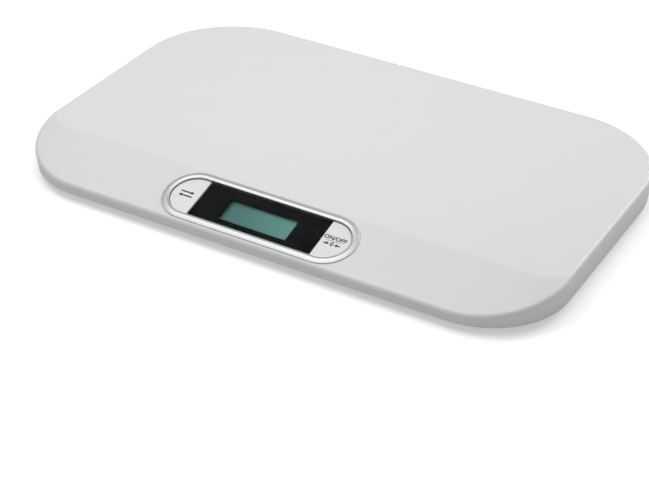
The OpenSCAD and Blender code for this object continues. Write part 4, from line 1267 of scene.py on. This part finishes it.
class SCALE_OT_cells(bpy.types.Operator):
    """Four cells with crimped ends, and the conical springs that hold them"""

    bl_idname = "scale.cells"
    bl_label = "Cells and springs"

    def execute(self, context):
        base = context.scene.base_sizes
        cells, springs = Shape(), Shape()
        steps, wire_sides, can_sides = 141, 8, 48
        coils, wire_width, wide_end, narrowing = 3.5, 0.0008, 0.0034, 0.0011
        turn = np.linspace(0, 1, steps)
        angle = 2 * math.pi * coils * turn
        reach = wide_end - narrowing * turn
        spiral = np.stack([reach * np.cos(angle), reach * np.sin(angle),
                           wire_width / 2 + (base.spring_length - wire_width) * turn], -1)
        play = 0.0001
        half = base.cell_length / 2 + base.spring_length / 2 + play
        for index in range(CELLS):
            way = 1 if index % 2 == 0 else -1
            across = (index - (CELLS - 1) / 2) * (base.cell_width + base.cell_gap)
            middle = np.array([base.bay_x + across, base.bay_y, base.cell_axis])

            def lay(points, start):
                """Lays points along the bay: their Z runs to the back, or to the front."""
                x, y, z = np.moveaxis(points, -1, 0)
                return middle + np.stack([x, way * (start + z), -way * y], -1)

            can = turned_surface(cell_profile(base), can_sides)
            cells.grid(lay(can, half - play - base.cell_length), closed=True)
            add_tube(springs, lay(spiral, -half), wire_width, wire_sides)
        piece = cells.build("cells", smooth=35)
        seat(piece, "platform", look("Cell can"), "cell_jacket", "battery_cells")
        piece.data.materials.append(look("Cell jacket"))
        under_jacket = jacket_faces(piece.data, base)
        piece.data.polygons.foreach_set("material_index", under_jacket.astype(np.int32))
        piece = springs.build("cell_springs", smooth=60)
        seat(piece, "platform", look("Nickel"), "nickel", "battery_springs")
        return {"FINISHED"}


def cell_profile(base):
    """Profile of a cell, nub first, with a crimped edge at each end of the can."""
    nub_high, nub, cap, crimp, sink = 0.0008, 0.0019, 0.0036, 0.0003, 0.0002
    top_soft, top_turn, foot_turn, foot_soft = 0.0004, 0.0007, 0.0006, 0.0008
    radius, long = base.cell_width / 2, base.cell_length
    shoulder = long - nub_high
    rim = shoulder - crimp
    corners = [(0, long), (nub, long), (nub, shoulder), (cap, shoulder), (cap + sink, rim),
               (radius - top_soft, rim), (radius, shoulder - top_turn), (radius, foot_turn),
               (radius - foot_soft, 0.0), (cap - sink, 0.0), (cap - 2 * sink, sink), (0, sink)]
    soft = [0, 3e-4, 1e-4, 1e-4, 1e-4, 2e-4, 3e-4, 3e-4, 3e-4, 1e-4, 1e-4, 0]
    return softened(corners, soft)


def jacket_faces(mesh, base):
    """Mask of the faces of the cells that lie under the jacket: those as far out as the can."""
    slack = 0.00005
    centre = np.empty(len(mesh.polygons) * 3)
    mesh.polygons.foreach_get("center", centre)
    centre = centre.reshape(-1, 3)
    pitch = base.cell_width + base.cell_gap
    across = (centre[:, 0] - base.bay_x) / pitch + (CELLS - 1) / 2
    off = (across - np.round(across)) * pitch
    far = np.hypot(off, centre[:, 2] - base.cell_axis)
    return far > base.cell_width / 2 - slack


class SCALE_OT_leads(bpy.types.Operator):
    """Round leads inside the case, from the load cells and the battery bay to the board"""

    bl_idname = "scale.leads"
    bl_label = "Leads"

    def execute(self, context):
        sizes, display = context.scene.platform_sizes, context.scene.display_sizes
        base = context.scene.base_sizes
        sheath_width, supply_width, steps, columns = 0.0022, 0.0016, 10, 12
        socket_u, half_apart = 0.044, 0.0015
        sheath, supply = Shape(), Shape()
        for side in (-1, 1):
            for way, end in ((-1, 0.078), (1, 0.066)):
                stops = [(side * end, 0.028, BOARD_LOW - 0.0032),
                         (side * end, 0.016, BOARD_LOW - 0.0012)]
                path = load_cell_route(side, way, base) + on_slope(stops, display, sizes).tolist()
                add_tube(sheath, smooth_path(path, steps), sheath_width, columns)
            u, level = socket_u + side * half_apart, BOARD_LOW - 0.0023
            stops = [(u, 0.024, level), (u, 0.010, level)]
            path = supply_route(side, base) + on_slope(stops, display, sizes).tolist()
            add_tube(supply, smooth_path(path, steps), supply_width, columns)
        piece = sheath.build("cell_leads", smooth=60)
        seat(piece, "platform", look("Grey lead"), "lead_grey", "load_cell_leads")
        piece = supply.build("supply_leads", smooth=60)
        seat(piece, "platform", look("Red lead"), "lead_red", "battery_leads")
        return {"FINISHED"}


def load_cell_route(side, way, base):
    """Stops of a load cell's lead: off the cell's end, then along the floor of the case."""
    cell_end, start_z, run_z = 0.013, 0.0168, 0.0152
    front = [(0.186, -0.076), (0.150, -0.076), (0.126, -0.085)]
    back = [(0.190, 0.145), (0.166, 0.130), (0.158, 0.076), (0.138, 0.0), (0.106, -0.080)]
    x, y = side * base.foot_x, way * base.foot_y
    return [(x, y + cell_end, start_z), (x, y + 2 * cell_end, start_z),
            *((side * across, along, run_z) for across, along in (front if way < 0 else back))]


def supply_route(side, base):
    """Stops of a battery lead, from the contacts forward between the bosses to the board.

    Each stop is a shift from the bay, half the distance between both leads, and its Y and Z.
    """
    stops = [(0.0, 0.0168, -0.00415, 0.0191), (0.0, 0.014, -0.00855, 0.0191),
             (0.0, 0.003, -0.01955, 0.0181), (-0.016, 0.0015, -0.080, 0.0177)]
    return [(base.bay_x + shift + side * apart, y, z) for shift, apart, y, z in stops]


class SCALE_OT_inner_parts(bpy.types.Operator):
    """Finishes of the bottom cover, door and the parts inside, which keep their shapes"""

    bl_idname = "scale.inner_parts"
    bl_label = "Base and inner parts"

    def execute(self, context):
        for entry in frame["record"]["subparts"]:
            surface = SLOT_FINISHES.get(entry["material_slot"], "Grey plastic")
            paint_node(entry["node"], look(surface))
        return {"FINISHED"}


class SCALE_OT_stage(bpy.types.Operator):
    """Pale floor, soft light, white background and the camera at the photograph's angle"""

    bl_idname = "scale.stage"
    bl_label = "Stage"

    def execute(self, context):
        scene = context.scene
        half = 6.0
        corners = [(-half, -half, 0), (half, -half, 0), (half, half, 0), (-half, half, 0)]
        mesh = bpy.data.meshes.new("floor")
        mesh.from_pydata(corners, [], [(0, 1, 2, 3)])
        floor = bpy.data.objects.new("floor", mesh)
        scene.collection.objects.link(floor)
        mesh.materials.append(floor_finish(scene.scale_colours.floor))
        soft_light("front_light", (0.0, -0.1, 0.8), size=0.5, power=1.8)
        soft_light("left_light", (-0.8, -0.1, 1.5), size=0.9, power=7.6)
        soft_light("back_light", (0.6, 1.5, 1.2), size=1.0, power=12.8)
        world_light(level=0.33)
        scene.camera = photo_camera(scene)
        scene.view_settings.view_transform = "Standard"
        return {"FINISHED"}


def floor_finish(colour):
    """Floor: plain diffuse colour, lifted towards white where the camera sees it.

    The lift grows with the distance from the middle, to make up for the lamps' fall-off.
    """
    material, tree, shader = new_material("Floor")
    set_inputs(shader, Base_Color=(*colour, 1.0), Roughness=0.9, Specular_IOR_Level=0.1,
               Emission_Color=(1.0, 1.0, 1.0, 1.0))
    path = add_node(tree, "ShaderNodeLightPath")
    place = add_node(tree, "ShaderNodeTexCoord")
    far = add_node(tree, "ShaderNodeVectorMath", operation="LENGTH")
    lift_white = ramp(tree, start=0.6, stop=2.2, low=0.42, high=0.75)
    wire(tree, (place, "Object", far, 0), (far, "Value", lift_white, "Value"))
    seen = product(tree, (lift_white, "Result"), (path, "Is Camera Ray"))
    wire(tree, (seen, "Value", shader, "Emission Strength"))
    return material


def soft_light(name, place, size, power):
    """A square area light at a place, turned to the middle of the platform."""
    middle = Vector((0, 0, 0.02))
    data = bpy.data.lights.new(name, "AREA")
    data.size = size
    data.energy = power
    lamp = bpy.data.objects.new(name, data)
    aim = middle - Vector(place)
    lamp.matrix_world = Matrix.Translation(place) @ aim.to_track_quat("-Z", "Y").to_matrix().to_4x4()
    bpy.context.scene.collection.objects.link(lamp)


def world_light(level):
    """Even light all round, and plain white where the camera, metal or glass sees it."""
    world = bpy.data.worlds.new("Studio")
    world.use_nodes = True
    tree = world.node_tree
    back = set_inputs(tree.nodes["Background"], Color=(1.0, 1.0, 1.0, 1.0))
    path = add_node(tree, "ShaderNodeLightPath")
    seen = add_node(tree, "ShaderNodeMath", operation="MAXIMUM")
    through = add_node(tree, "ShaderNodeMath", operation="MAXIMUM")
    strength = ramp(tree, low=level)
    wire(tree, (path, "Is Camera Ray", seen, 0), (path, "Is Glossy Ray", seen, 1),
         (seen, "Value", through, 0), (path, "Is Transmission Ray", through, 1),
         (through, "Value", strength, "Value"), (strength, "Result", back, "Strength"))
    bpy.context.scene.world = world


def photo_camera(scene):
    """The photograph's camera: its place, its three directions and its lens."""
    data = bpy.data.cameras.new("camera")
    data.sensor_fit = "HORIZONTAL"
    data.sensor_width = 36.0
    data.lens = 96.78
    data.clip_end = 50.0
    place = (0.6912, -1.2644, 0.8623)
    right = Vector((0.86637, 0.49917, 0.01547))
    up = Vector((-0.28554, 0.46969, 0.83538))
    back = right.cross(up)
    camera = bpy.data.objects.new("camera", data)
    turn = Matrix((right, up, back)).transposed().to_4x4()
    camera.matrix_world = Matrix.Translation(place) @ turn
    scene.collection.objects.link(camera)
    return camera


class SCALE_PT_panel(bpy.types.Panel):
    """Lists the pieces of the scale and the stage"""

    bl_idname = "SCALE_PT_panel"
    bl_label = "Baby scale"
    bl_space_type = "VIEW_3D"
    bl_region_type = "UI"
    bl_category = "Baby scale"

    def draw(self, context):
        column = self.layout.column()
        for operator in OPERATORS:
            column.operator(operator.bl_idname)


GROUP_CLASSES = (PlatformSizes, DisplaySizes, BaseSizes, ScaleColours)
OPERATORS = (SCALE_OT_inner_parts, SCALE_OT_top_cover, SCALE_OT_cover_bosses,
             SCALE_OT_display_ring, SCALE_OT_keys, SCALE_OT_marks, SCALE_OT_window,
             SCALE_OT_feet, SCALE_OT_cells, SCALE_OT_leads, SCALE_OT_stage)


def register():
    """Registers the property groups, the operators and the panel."""
    for item in (*GROUP_CLASSES, *OPERATORS, SCALE_PT_panel):
        bpy.utils.register_class(item)
    bpy.types.Scene.platform_sizes = PointerProperty(type=PlatformSizes)
    bpy.types.Scene.display_sizes = PointerProperty(type=DisplaySizes)
    bpy.types.Scene.base_sizes = PointerProperty(type=BaseSizes)
    bpy.types.Scene.scale_colours = PointerProperty(type=ScaleColours)


def unregister():
    """Removes what register added."""
    del bpy.types.Scene.platform_sizes
    del bpy.types.Scene.display_sizes
    del bpy.types.Scene.base_sizes
    del bpy.types.Scene.scale_colours
    for item in reversed((*GROUP_CLASSES, *OPERATORS, SCALE_PT_panel)):
        bpy.utils.unregister_class(item)


def main():
    register()
    for operator in OPERATORS:
        group, name = operator.bl_idname.split(".")
        getattr(getattr(bpy.ops, group), name)()
    bpy.context.view_layer.update()


if __name__ == "__main__":
    main()
